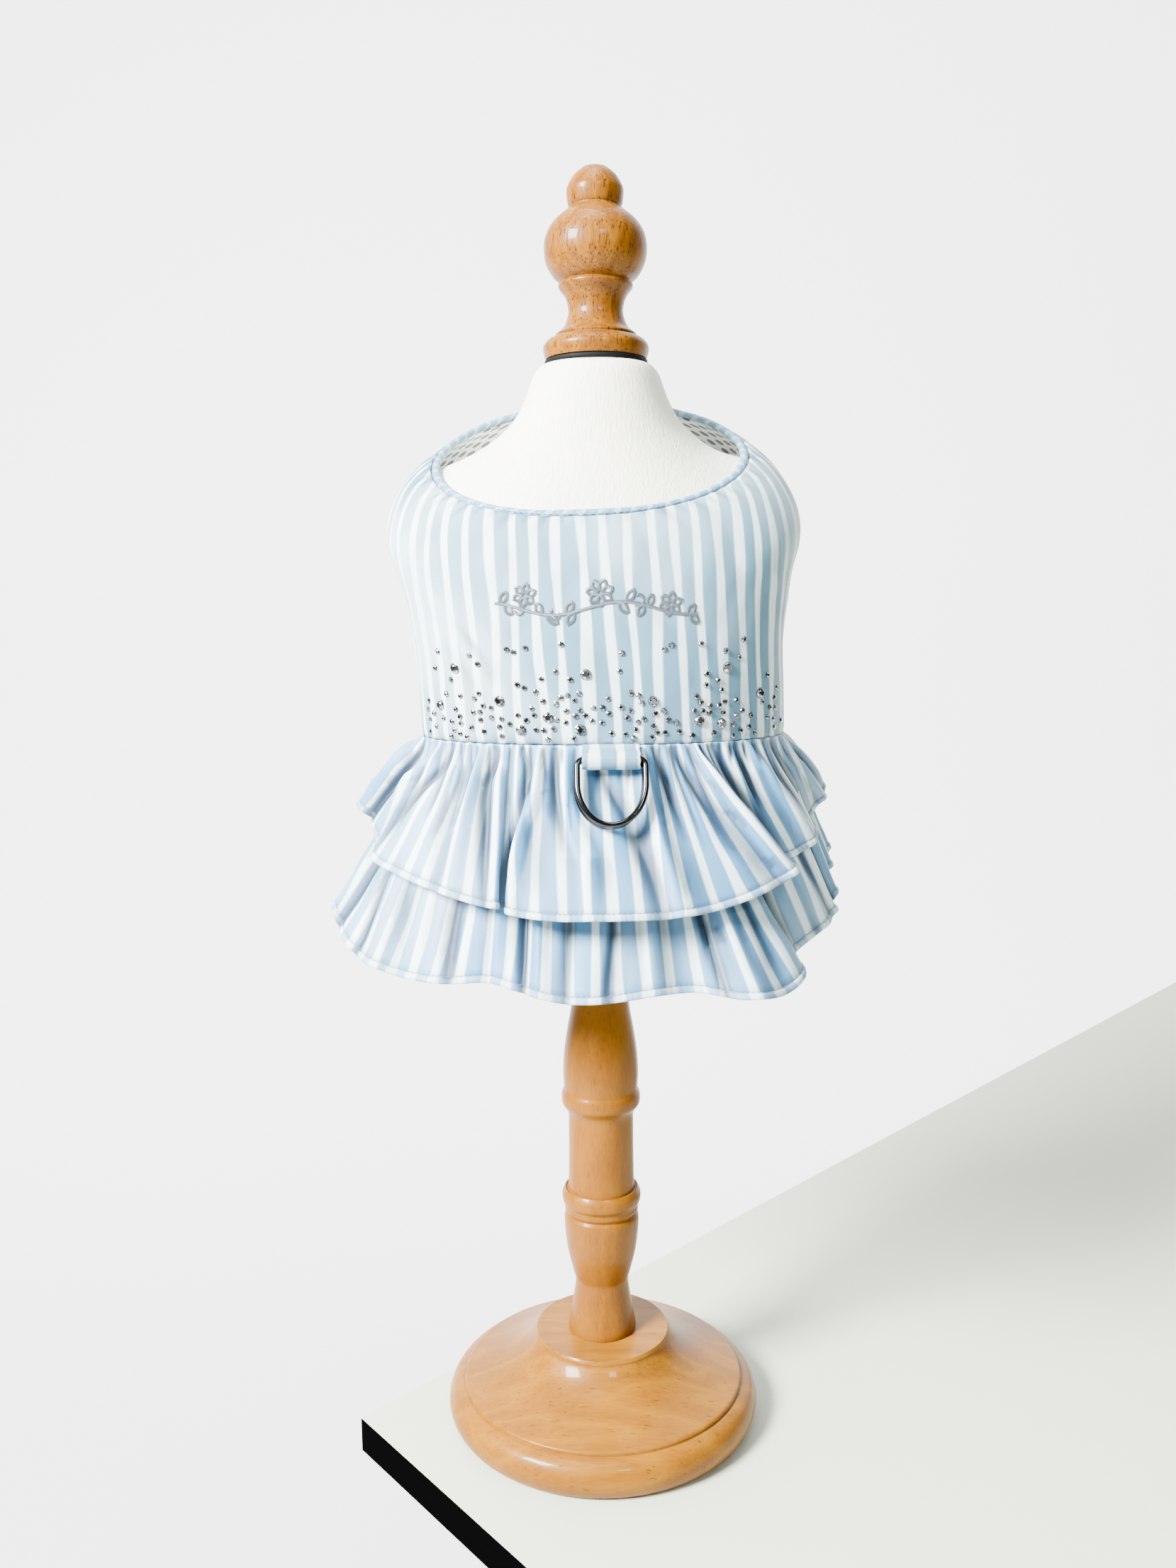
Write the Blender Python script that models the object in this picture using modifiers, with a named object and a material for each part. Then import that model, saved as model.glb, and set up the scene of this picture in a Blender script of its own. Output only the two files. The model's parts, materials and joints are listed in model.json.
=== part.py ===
"""A dog's dress with two skirt tiers, worn by a plain neck bust on a turned wooden stand.

The dress faces -Y with its back, where the leash rings hang, and +X is its right-hand side in
that view. The stand's base rests on the plane z = 0 with the origin at its centre.
"""

import math
import random

import bmesh
import bpy
from mathutils import Matrix, Vector

MM = 0.001
GAP = 0.3 * MM  # between pieces that touch

# Turned stand
BASE_RADIUS = 73.4 * MM
BASE_HEIGHT = 40.3 * MM
POLE_RADIUS = 15.9 * MM
POLE_HEIGHT = 248.8 * MM
FINIAL_RADIUS = 22.9 * MM
FINIAL_HEIGHT = 80.6 * MM
PLATE_RADIUS = 22.4 * MM
PLATE_THICKNESS = 2.2 * MM

# Bust form
FORM_NECK_HEIGHT = 38.7 * MM  # from the neckline's middle to the form's top
FORM_NECK_RADIUS = 27.5 * MM
FORM_CLEARANCE = 1.0 * MM  # between the form and the lining

# Bodice: the sizes are those of the outer face of the cloth
WAIST_ABOVE_FORM_FOOT = 36.3 * MM
CHEST_HALF_WIDTH = 90.6 * MM
CHEST_HALF_DEPTH = 60.0 * MM
NECK_RISE = 120.0 * MM  # from the waist seam to the neckline at the sides
NECK_TILT = 28.0 * MM  # how far the neckline dips at the back and climbs at the chest
NECK_ROLL = 2.5 * MM  # how much higher the neckline sits on the right-hand side
NECK_LEAN = -5.0 * MM  # sideways drift from the waist to the neckline
WAIST_SHIFT = 2.0 * MM
CLOTH = 1.4 * MM
LINING = 1.2 * MM
LAYER_GAP = 0.35 * MM
BINDING_RADIUS = 1.5 * MM
SQUARENESS = 2.15  # exponent of the plan's rounded oval, 2 is a true ellipse
BODY_COLUMNS = 32
BODY_RISES = (0.0, 0.20, 0.40, 0.57, 0.71, 0.82, 0.91, 0.965, 1.0)

# Leg holes, on the surface's own angle and rise
LEG_HOLE_TURN = math.radians(108)
LEG_HOLE_SPREAD = math.radians(17)
LEG_HOLE_RISE = 0.66
LEG_HOLE_REACH = 0.20
CUT_MARGIN = 6.0 * MM  # how far the cutter passes both faces of the cloth

# Belly strip
STRIP_WIDTH = 18.0 * MM
STRIP_THICKNESS = 1.2 * MM

# Skirt tiers
UPPER_DROP = 66.5 * MM
UPPER_REACH = 29.0 * MM
LOWER_DROP = 101.0 * MM
LOWER_REACH = 34.0 * MM
GATHERS = 22
FOLD_SWEEP = 1.2  # how late the folds swing from their waist angle to their hem angle
GATHER_DEPTH = 1.1 * MM

# Leash rings and their loop
WIRE = 2.5 * MM
RING_INNER_WIDTH = 25.0 * MM
RING_LENGTH = 27.4 * MM  # from the bar's centre to the bow's centre
RING_STRAIGHT = 0.36  # share of the length that runs straight before the bow
LOOP_SIDE = 4.5 * MM  # the loop sits this far to +X
LOOP_WIDTH = 23.6 * MM
LOOP_LENGTH = 7.6 * MM  # from the seam to the tunnel's centre
LOOP_CLOTH = 1.1 * MM
TUNNEL_RADIUS = 3.05 * MM
BACK_RING_TURN = math.radians(2.5)

# Stones
BIG_STONE = 2.2 * MM
SMALL_STONE = 1.25 * MM
STONE_FIELD_HEIGHT = 30.0 * MM
STONE_FACETS = 6

# Outline of the base: radius and height as shares of its radius and height, from the top down
BASE_OUTLINE = (
    # radius, height
    (0.425, 1.000),
    (0.437, 0.965),
    (0.442, 0.925),
    (0.500, 0.800),
    (0.600, 0.675),
    (0.720, 0.575),
    (0.840, 0.500),
    (0.893, 0.468),
    (0.898, 0.425),
    (0.915, 0.418),
    (0.965, 0.360),
    (0.997, 0.245),
    (0.997, 0.140),
    (0.972, 0.045),
    (0.935, 0.000),
)

# Outline of the pole: radius and height as shares, from the top down
POLE_OUTLINE = (
    # radius, height
    (0.786, 1.000),
    (0.786, 0.700),
    (0.805, 0.664),
    (0.857, 0.632),
    (0.960, 0.595),
    (1.063, 0.551),
    (1.100, 0.515),
    (1.090, 0.491),
    (1.085, 0.478),
    (1.135, 0.470),
    (1.155, 0.461),
    (1.130, 0.448),
    (0.970, 0.432),
    (0.953, 0.400),
    (0.975, 0.290),
    (1.075, 0.283),
    (1.150, 0.274),
    (1.165, 0.267),
    (1.145, 0.257),
    (1.080, 0.250),
    (1.090, 0.241),
    (1.030, 0.234),
    (1.100, 0.226),
    (1.088, 0.198),
    (1.010, 0.157),
    (0.860, 0.117),
    (0.788, 0.091),
    (0.940, 0.028),
    (1.000, 0.008),
    (1.000, 0.000),
)

# Outline of the finial: radius and height as shares, from the top down
FINIAL_OUTLINE = (
    # radius, height
    (0.230, 0.990),
    (0.400, 0.950),
    (0.515, 0.895),
    (0.535, 0.860),
    (0.510, 0.805),
    (0.485, 0.788),
    (0.560, 0.768),
    (0.780, 0.715),
    (0.925, 0.650),
    (0.970, 0.575),
    (0.930, 0.500),
    (0.800, 0.435),
    (0.665, 0.403),
    (0.700, 0.392),
    (0.690, 0.372),
    (0.580, 0.330),
    (0.522, 0.275),
    (0.530, 0.225),
    (0.620, 0.165),
    (0.760, 0.133),
    (0.765, 0.117),
    (0.890, 0.104),
    (0.985, 0.075),
    (1.000, 0.045),
    (0.955, 0.000),
)

# Foot of the bust form: height as a share of the way from its foot to the waist, and scale
FORM_FOOT = (
    # height, scale
    (0.00, 0.900),
    (0.08, 0.955),
    (0.40, 0.985),
)
# Body of the bust form: shares of the bodice's rise at which it follows the lining
FORM_BODY = (0.02, 0.20, 0.40, 0.57, 0.71, 0.82, 0.91, 0.97)
# Neck of the bust form: height as a share of the way from the neckline's middle to its top,
# half width and half depth as shares of its neck's radius, and lean as a share of the
# neckline's tilt
FORM_NECK = (
    # height, width, depth, lean
    (0.10, 1.850, 1.380, 0.54),
    (0.31, 1.455, 1.230, 0.30),
    (0.47, 1.255, 1.160, 0.12),
    (0.65, 1.120, 1.090, 0.00),
    (0.88, 1.000, 1.000, 0.00),
    (0.98, 0.890, 0.890, 0.00),
    (1.00, 0.800, 0.800, 0.00),
)

# Sections of the bodice from the waist seam to the neckline: the rise, the half width and the
# depths of the back and the chest, as shares of the chest's half width and half depth
BODICE_SECTIONS = (
    # rise, width, back, chest
    (0.00, 0.894, 0.950, 0.950),
    (0.18, 0.898, 0.955, 0.965),
    (0.36, 0.905, 0.952, 0.990),
    (0.50, 0.932, 0.940, 1.000),
    (0.61, 0.962, 0.925, 1.000),
    (0.70, 0.993, 0.905, 0.985),
    (0.77, 1.000, 0.885, 0.965),
    (0.85, 0.972, 0.858, 0.930),
    (0.92, 0.915, 0.830, 0.880),
    (0.97, 0.842, 0.806, 0.830),
    (1.00, 0.770, 0.790, 0.790),
)

# Folds of the tiers, from the left end round the back to the right end: the angle at the waist,
# the angle at the hem, and the hem's reach and drop as shares of the tier's reach and drop
UPPER_FOLDS = (
    # waist, hem, reach, drop
    (-140, -138, 0.50, 0.16),
    (-118, -120, 0.80, 0.30),
    (-98, -105, 0.62, 0.42),
    (-78, -90, 0.94, 0.53),
    (-68, -83, 0.72, 0.68),
    (-60, -75, 0.86, 0.78),
    (-50, -61, 0.75, 0.84),
    (-41, -46, 0.70, 0.90),
    (-33, -32, 0.76, 0.95),
    (-29, -27, 0.72, 0.97),
    (-26, -25, 0.52, 0.99),
    (-22, -21, 0.87, 0.99),
    (-13, -11, 1.00, 1.00),
    (-3, -1, 1.00, 1.00),
    (7, 9, 0.96, 1.00),
    (14, 19, 0.94, 0.99),
    (18, 27, 0.91, 0.96),
    (22, 38, 0.88, 0.90),
    (27, 50, 0.84, 0.80),
    (36, 55, 0.46, 0.77),
    (46, 63, 0.44, 0.75),
    (58, 74, 0.57, 0.66),
    (70, 86, 0.46, 0.57),
    (84, 99, 0.74, 0.42),
    (100, 110, 0.56, 0.36),
    (120, 124, 0.78, 0.26),
    (140, 138, 0.50, 0.14),
)
LOWER_FOLDS = (
    # waist, hem, reach, drop
    (-140, -138, 0.55, 0.36),
    (-118, -121, 0.95, 0.50),
    (-98, -104, 0.80, 0.66),
    (-82, -90, 1.25, 0.80),
    (-74, -82, 1.14, 0.88),
    (-66, -74, 0.98, 0.94),
    (-52, -58, 0.78, 0.97),
    (-38, -42, 0.68, 0.97),
    (-29, -30, 0.48, 0.96),
    (-21, -22, 0.60, 0.97),
    (-11, -11, 0.72, 1.00),
    (-2, -2, 0.77, 1.00),
    (9, 12, 0.67, 0.98),
    (16, 22, 0.66, 0.98),
    (20, 31, 0.92, 1.00),
    (24, 41, 0.99, 1.00),
    (28, 51, 0.86, 0.96),
    (38, 58, 0.52, 0.90),
    (50, 68, 0.60, 0.84),
    (64, 80, 0.70, 0.77),
    (78, 92, 0.66, 0.67),
    (98, 106, 0.85, 0.56),
    (120, 122, 0.75, 0.46),
    (140, 138, 0.55, 0.34),
)

# Stones set by hand: place across as a share of the waist's half width, height above the seam
# as a share of the field's height, and whether the stone is a big one
STONES = (
    # across, up, big
    (-0.72, 0.97, True),
    (-0.49, 0.52, True),
    (-0.06, 0.88, True),
    (-0.25, 0.30, True),
    (-0.10, 0.13, True),
    (-0.82, 0.44, True),
    (-0.71, 0.22, False),
    (-0.60, 0.28, False),
    (-0.39, 0.12, True),
    (-0.50, 0.19, False),
    (0.62, 0.92, True),
    (0.23, 0.50, True),
    (0.48, 0.38, False),
    (0.46, 0.22, True),
    (0.34, 0.24, False),
    (0.80, 0.55, True),
    (0.03, 0.11, False),
    (0.58, 0.17, True),
    (0.70, 0.36, False),
    (-0.30, 0.68, False),
)
LOOSE_STONES = 16  # more small ones, strewn along the seam


def smooth(share):
    """Ease from 0 to 1."""
    share = min(1.0, max(0.0, share))
    return share * share * (3.0 - 2.0 * share)


def mix(first, second, share):
    return first + (second - first) * share


def read_table(table, key):
    """The table's other columns at one value of its first column, on a smooth curve."""
    if key <= table[0][0]:
        return table[0][1:]
    for index in range(len(table) - 1):
        low, high = table[index], table[index + 1]
        if key <= high[0]:
            before = table[max(index - 1, 0)]
            after = table[min(index + 2, len(table) - 1)]
            span = high[0] - low[0]
            share = (key - low[0]) / span
            values = []
            for column in range(1, len(low)):
                slope_in = (high[column] - before[column]) / (high[0] - before[0]) * span
                slope_out = (after[column] - low[column]) / (after[0] - low[0]) * span
                square, cube = share * share, share * share * share
                values.append(
                    (2 * cube - 3 * square + 1) * low[column]
                    + (cube - 2 * square + share) * slope_in
                    + (3 * square - 2 * cube) * high[column]
                    + (cube - square) * slope_out
                )
            return tuple(values)
    return table[-1][1:]


# Heights, from the floor up
base_top = BASE_HEIGHT
pole_foot = base_top + GAP
form_foot = pole_foot + POLE_HEIGHT + GAP
waist = form_foot + WAIST_ABOVE_FORM_FOOT
neckline = waist + NECK_RISE
form_top = neckline + FORM_NECK_HEIGHT
plate_foot = form_top + GAP
finial_foot = plate_foot + PLATE_THICKNESS + GAP


def oval(turn, half_width, half_depth):
    """A point of the rounded oval, at an angle measured from -Y towards +X."""
    power = 2.0 / SQUARENESS
    across = math.copysign(abs(math.sin(turn)) ** power, math.sin(turn))
    along = math.copysign(abs(math.cos(turn)) ** power, math.cos(turn))
    return half_width * across, -half_depth * along


def bodice_face(turn, rise):
    """The bodice's outer face: the angle round the body and the share of the way up."""
    width, back, chest = read_table(BODICE_SECTIONS, min(max(rise, 0.0), 1.0))
    depth = mix(back, chest, 0.5 - 0.5 * math.cos(turn))
    x, y = oval(turn, width * CHEST_HALF_WIDTH, depth * CHEST_HALF_DEPTH)
    height = rise * (NECK_RISE - NECK_TILT * math.cos(turn) + NECK_ROLL * math.sin(turn))
    return Vector((x + WAIST_SHIFT + NECK_LEAN * rise, y, waist + height))


def bodice_frame(turn, rise):
    """The face's point with its unit vectors round the body, up the cloth and outward."""
    step = 0.004
    low, high = max(rise - step, 0.0), min(rise + step, 1.0)
    around = (bodice_face(turn + step, rise) - bodice_face(turn - step, rise)).normalized()
    up = (bodice_face(turn, high) - bodice_face(turn, low)).normalized()
    return bodice_face(turn, rise), around, up, around.cross(up).normalized()


def bodice_layer(turn, rise, depth):
    """A point under the outer face, or over it where depth is negative."""
    point, _, _, outward = bodice_frame(turn, rise)
    return point - outward * depth


def new_collection(name):
    collection = bpy.data.collections.new(name)
    bpy.context.scene.collection.children.link(collection)
    return collection


def new_material(name, colour, roughness, metallic=0.0):
    material = bpy.data.materials.new(name)
    material.use_nodes = True
    shader = material.node_tree.nodes["Principled BSDF"]
    shader.inputs["Base Color"].default_value = (*colour, 1.0)
    shader.inputs["Roughness"].default_value = roughness
    shader.inputs["Metallic"].default_value = metallic
    return material


def add_piece(name, data, material, smooth_angle=40):
    piece = bpy.data.objects.new(name, data)
    dress.objects.link(piece)
    if material is not None:
        data.materials.append(material)
    if isinstance(data, bpy.types.Mesh):
        data.shade_smooth()
        data.set_sharp_from_angle(angle=math.radians(smooth_angle))
    return piece


def sheet_mesh(name, columns, rows, point, closed):
    """An open sheet of quads whose corners a function places from two shares, 0 to 1."""
    mesh = bpy.data.meshes.new(name)
    build = bmesh.new()
    wide = columns if closed else columns + 1
    grid = [
        [build.verts.new(point(column / columns, row / rows)) for column in range(wide)]
        for row in range(rows + 1)
    ]
    for row in range(rows):
        for column in range(columns):
            beside = (column + 1) % wide
            build.faces.new(
                (grid[row][column], grid[row][beside], grid[row + 1][beside], grid[row + 1][column])
            )
    build.to_mesh(mesh)
    build.free()
    return mesh


def cap_ends(mesh):
    """Close a tube's two open ends with flat faces."""
    build = bmesh.new()
    build.from_mesh(mesh)
    rim = [edge for edge in build.edges if edge.is_boundary]
    bmesh.ops.holes_fill(build, edges=rim)
    bmesh.ops.recalc_face_normals(build, faces=build.faces)
    build.to_mesh(mesh)
    build.free()


def thicken(piece, thickness, side=-1.0):
    shell = piece.modifiers.new("thickness", "SOLIDIFY")
    shell.thickness = thickness
    shell.offset = side
    return shell


def turned(name, outline, radius, height, foot, steps, material):
    """A solid of revolution from an outline of shares, listed from the top down."""
    mesh = bpy.data.meshes.new(name)
    build = bmesh.new()
    places = [(0.0, outline[0][1])] + list(outline) + [(0.0, outline[-1][1])]
    corners = [build.verts.new((r * radius, 0.0, h * height)) for r, h in places]
    for first, second in zip(corners, corners[1:]):
        build.edges.new((first, second))
    build.to_mesh(mesh)
    build.free()
    piece = add_piece(name, mesh, material)
    piece.location.z = foot
    screw = piece.modifiers.new("turn", "SCREW")
    screw.axis = "Z"
    screw.steps = steps
    screw.render_steps = steps
    screw.use_merge_vertices = True
    screw.merge_threshold = 0.00001
    screw.use_smooth_shade = True
    return piece


def tube(name, points, radius, resolution, material):
    """A closed ring of round cord through the given points."""
    curve = bpy.data.curves.new(name, "CURVE")
    curve.dimensions = "3D"
    curve.bevel_depth = radius
    curve.bevel_resolution = resolution
    curve.use_fill_caps = True
    spline = curve.splines.new("POLY")
    spline.points.add(len(points) - 1)
    for corner, place in zip(spline.points, points):
        corner.co = (*place, 1.0)
    spline.use_cyclic_u = True
    return add_piece(name, curve, material)


def make_stand(wood, plate):
    turned("stand_base", BASE_OUTLINE, BASE_RADIUS, BASE_HEIGHT, 0.0, 22, wood)
    turned("stand_pole", POLE_OUTLINE, POLE_RADIUS, POLE_HEIGHT, pole_foot, 12, wood)
    turned("finial", FINIAL_OUTLINE, FINIAL_RADIUS, FINIAL_HEIGHT, finial_foot, 16, wood)
    mesh = bpy.data.meshes.new("neck_plate")
    build = bmesh.new()
    bmesh.ops.create_cone(
        build,
        cap_ends=True,
        segments=24,
        radius1=PLATE_RADIUS,
        radius2=PLATE_RADIUS,
        depth=PLATE_THICKNESS,
    )
    build.to_mesh(mesh)
    build.free()
    disc = add_piece("neck_plate", mesh, plate)
    disc.location.z = plate_foot + PLATE_THICKNESS / 2


def form_row(row, turn):
    """A point of one of the form's sections, counted from its foot."""
    inset = CLOTH + LAYER_GAP + LINING + FORM_CLEARANCE
    if row < len(FORM_FOOT):
        share, scale = FORM_FOOT[row]
        point = bodice_layer(turn, 0.0, inset) * scale
        point.z = mix(form_foot, waist, share)
        return point
    row -= len(FORM_FOOT)
    if row < len(FORM_BODY):
        rise = FORM_BODY[row]
        point = bodice_layer(turn, rise, inset)
        point.z -= 0.7 * rise * NECK_TILT * max(0.0, -math.cos(turn)) ** 1.5
        return point
    share, width, depth, lean = FORM_NECK[row - len(FORM_BODY)]
    x, y = oval(turn, width * FORM_NECK_RADIUS, depth * FORM_NECK_RADIUS)
    tilt = lean * NECK_TILT * (math.cos(turn) if math.cos(turn) > 0 else 0.3 * math.cos(turn))
    return Vector((x, y, mix(neckline, form_top, share) - tilt))


def make_form(cloth):
    """The bust: its body follows the lining, its neck is round, and its foot is flat."""
    rows = len(FORM_FOOT) + len(FORM_BODY) + len(FORM_NECK) - 1

    def point(around, up):
        return form_row(round(up * rows), math.tau * around)

    mesh = sheet_mesh("bust_form", 24, rows, point, closed=True)
    cap_ends(mesh)
    add_piece("bust_form", mesh, cloth)


def leg_hole_edge(side, share, depth, inset=0.0):
    """The edge of a leg hole, set in by a length along the cloth and down by a depth."""
    angle = math.tau * share
    turn = side * (LEG_HOLE_TURN + LEG_HOLE_SPREAD * math.cos(angle))
    rise = LEG_HOLE_RISE + LEG_HOLE_REACH * math.sin(angle)
    point, _, _, outward = bodice_frame(turn, rise)
    centre = bodice_face(side * LEG_HOLE_TURN, LEG_HOLE_RISE)
    inward = centre - point
    inward = (inward - outward * inward.dot(outward)).normalized()
    return point - outward * depth + inward * inset


def leg_hole_cutter(name, side):
    deep, proud = CLOTH + LAYER_GAP + LINING + CUT_MARGIN, -CUT_MARGIN

    def point(around, up):
        return leg_hole_edge(side, around, mix(deep, proud, up))

    mesh = sheet_mesh(name, 24, 1, point, closed=True)
    cap_ends(mesh)
    cutter = bpy.data.objects.new(name, mesh)
    cutters.objects.link(cutter)
    cutter.hide_render = True
    cutter.display_type = "WIRE"
    return cutter


def cut(piece, cutter):
    boolean = piece.modifiers.new(cutter.name, "BOOLEAN")
    boolean.operation = "DIFFERENCE"
    boolean.solver = "EXACT"
    boolean.object = cutter


def make_bodice(cloth, mesh_cloth, trim):
    """The outer cloth, its lining, the rolled bindings and the strip that closes the belly."""
    holes = [leg_hole_cutter("leg_hole_left", -1), leg_hole_cutter("leg_hole_right", 1)]

    rows = len(BODY_RISES) - 1

    def outer(around, up):
        return bodice_layer(math.tau * around, BODY_RISES[round(up * rows)], 0.0)

    def inner(around, up):
        return bodice_layer(math.tau * around, BODY_RISES[round(up * rows)], CLOTH + LAYER_GAP)

    bodice = add_piece("bodice", sheet_mesh("bodice", BODY_COLUMNS, rows, outer, closed=True), cloth)
    thicken(bodice, CLOTH)
    lining = add_piece("lining", sheet_mesh("lining", BODY_COLUMNS, rows, inner, closed=True), mesh_cloth)
    thicken(lining, LINING)
    for hole in holes:
        cut(bodice, hole)
        cut(lining, hole)

    middle = (CLOTH + LAYER_GAP + LINING) / 2
    off_edge = BINDING_RADIUS + 2 * GAP
    neck = []
    for step in range(BODY_COLUMNS):
        point, _, up, outward = bodice_frame(math.tau * step / BODY_COLUMNS, 1.0)
        neck.append(point - outward * middle + up * off_edge)
    tube("neck_binding", neck, BINDING_RADIUS, 1, trim)
    for side, name in ((-1, "leg_binding_left"), (1, "leg_binding_right")):
        edge = [leg_hole_edge(side, step / 16, middle, off_edge) for step in range(16)]
        tube(name, edge, BINDING_RADIUS, 1, trim)

    half_turn = STRIP_WIDTH / 2 / (CHEST_HALF_WIDTH * 0.9)

    def strip(around, up):
        turn = math.pi + mix(half_turn, -half_turn, around)
        return bodice_layer(-turn, mix(0.02, 0.97, up), -GAP - LAYER_GAP)

    closure = add_piece("belly_strip", sheet_mesh("belly_strip", 4, 10, strip, closed=False), trim)
    thicken(closure, STRIP_THICKNESS, side=1.0)


def waist_place(turn, inset):
    """A point of the waist line, moved in under the bodice, and the way out from it."""
    point, _, _, outward = bodice_frame(turn, 0.0)
    outward = Vector((outward.x, outward.y, 0.0)).normalized()
    return point - outward * inset, outward


def tier_place(folds, reach, drop, inset, flare, key, down):
    """A point of a skirt tier from the waist angle in degrees and the share of the way down."""
    hem, out, fall = read_table(folds, key)
    turn = math.radians(mix(key, hem, down**FOLD_SWEEP))
    start, outward = waist_place(turn, inset)
    calm = smooth((abs(key) - 12.0) / 10.0)
    wave = GATHER_DEPTH * calm * math.sin(math.pi * down) * (1.0 - down)
    gather = wave * math.sin(math.tau * GATHERS * (key + 140.0) / 280.0)
    distance = (out * reach + inset) * down**flare + gather
    return start + outward * distance - Vector((0.0, 0.0, GAP + fall * drop * down))


def make_tier(name, folds, reach, drop, inset, flare, columns, rows, cloth):
    """One gathered tier, open at the belly."""

    def point(across, down):
        key = mix(folds[-1][0], folds[0][0], across)
        return tier_place(folds, reach, drop, inset, flare, key, down)

    tier = add_piece(name, sheet_mesh(name, columns, rows, point, closed=False), cloth)
    thicken(tier, CLOTH)
    return tier


# Frame of the loop and rings: along the upper tier's slope at the middle of the back
slope = math.atan2(UPPER_REACH, UPPER_DROP)
down_slope = Vector((0.0, -math.sin(slope), -math.cos(slope)))
off_slope = Vector((0.0, -math.cos(slope), math.sin(slope)))
loop_outer = TUNNEL_RADIUS + LOOP_CLOTH
seam_point = Vector((LOOP_SIDE, bodice_face(0.0, 0.0).y, waist - GAP))
tunnel = seam_point + down_slope * LOOP_LENGTH + off_slope * (loop_outer + 2 * GAP)
side_axis = Vector((1.0, 0.0, 0.0))
ring_axes = Matrix((down_slope, side_axis, off_slope)).transposed()
loop_axes = Matrix((down_slope, off_slope, -side_axis)).transposed()


def make_loop(cloth):
    """The cloth loop: a tab from the waist seam that folds round the rings' bars."""
    outline = bpy.data.curves.new("ring_loop", "CURVE")
    outline.dimensions = "2D"
    outline.fill_mode = "BOTH"
    outline.extrude = LOOP_WIDTH / 2
    tab_top = -LOOP_LENGTH + 2 * LOOP_CLOTH
    front = -loop_outer + 2 * LOOP_CLOTH
    rounds = 20
    outer = [(tab_top, -loop_outer), (tab_top, front)]
    for step in range(rounds + 1):
        angle = mix(math.pi * 0.72, -math.pi / 2, step / rounds)
        outer.append((loop_outer * math.cos(angle), loop_outer * math.sin(angle)))
    inner = []
    for step in range(rounds):
        angle = math.tau * step / rounds
        inner.append((TUNNEL_RADIUS * math.cos(angle), TUNNEL_RADIUS * math.sin(angle)))
    for ring in (outer, inner):
        spline = outline.splines.new("POLY")
        spline.points.add(len(ring) - 1)
        for corner, place in zip(spline.points, ring):
            corner.co = (*place, 0.0, 1.0)
        spline.use_cyclic_u = True
    loop = add_piece("ring_loop", outline, cloth)
    loop.matrix_world = Matrix.Translation(tunnel) @ loop_axes.to_4x4()


def ring_outline(turn):
    """A D of wire: its bar lies on the tunnel's axis, its bow hangs below."""
    half = (RING_INNER_WIDTH + WIRE) / 2
    corner = 2.4 * WIRE / 2
    straight = RING_STRAIGHT * RING_LENGTH
    bow = RING_LENGTH - straight
    places = [(half - corner, 0.0)]
    for step in range(1, 4):
        angle = math.pi / 2 * (1 - step / 4)
        places.append((half - corner * (1 - math.cos(angle)), corner * (1 - math.sin(angle))))
    for step in range(13):
        angle = math.pi * step / 12
        places.append((half * math.cos(angle), straight + bow * math.sin(angle)))
    for step in range(1, 4):
        angle = math.pi / 2 * step / 4
        places.append((-half + corner * (1 - math.cos(angle)), corner * (1 - math.sin(angle))))
    places.append((-half + corner, 0.0))
    cos, sin = math.cos(turn), math.sin(turn)
    return [(x * sin + y * cos, x * cos - y * sin) for x, y in places]


def make_rings(metal):
    """Two D-rings, one on the other, with both bars in the loop's tunnel."""
    apart = WIRE / 2 + GAP / 2
    for name, turn, level in (("d_ring_front", 0.0, apart), ("d_ring_back", BACK_RING_TURN, -apart)):
        points = [(down, side, level) for down, side in ring_outline(turn)]
        ring = tube(name, points, WIRE / 2, 1, metal)
        ring.matrix_world = Matrix.Translation(tunnel) @ ring_axes.to_4x4()


def stone_rows():
    """The stones set by hand, then small ones strewn more thickly towards the seam."""
    rows = list(STONES)
    chance = random.Random(11)
    while len(rows) < len(STONES) + LOOSE_STONES:
        across = chance.uniform(-0.86, 0.88)
        up = 0.12 + 0.75 * chance.random() ** 2
        apart = [math.hypot((across - row[0]) * 80, (up - row[1]) * 30) for row in rows]
        if min(apart) > 4.2:
            rows.append((across, up, False))
    return rows


def make_stones(glass):
    for number, (across, up, big) in enumerate(stone_rows(), 1):
        radius = BIG_STONE if big else SMALL_STONE
        height = radius * 0.62
        turn = math.asin(across)
        rise = (up * STONE_FIELD_HEIGHT + radius) / (NECK_RISE - NECK_TILT * math.cos(turn))
        point, around, upward, outward = bodice_frame(turn, rise)
        mesh = bpy.data.meshes.new(f"stone_{number:02d}")
        build = bmesh.new()
        bmesh.ops.create_cone(
            build,
            cap_ends=True,
            segments=STONE_FACETS,
            radius1=radius,
            radius2=radius * 0.55,
            depth=height,
        )
        build.to_mesh(mesh)
        build.free()
        stone = add_piece(f"stone_{number:02d}", mesh, glass, smooth_angle=5)
        axes = Matrix((around, upward, outward)).transposed().to_4x4()
        place = point + outward * (height / 2 + GAP)
        stone.matrix_world = Matrix.Translation(place) @ axes


for old in list(bpy.data.objects):
    bpy.data.objects.remove(old)
dress = new_collection("dog_dress")
cutters = new_collection("cutters")

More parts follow.
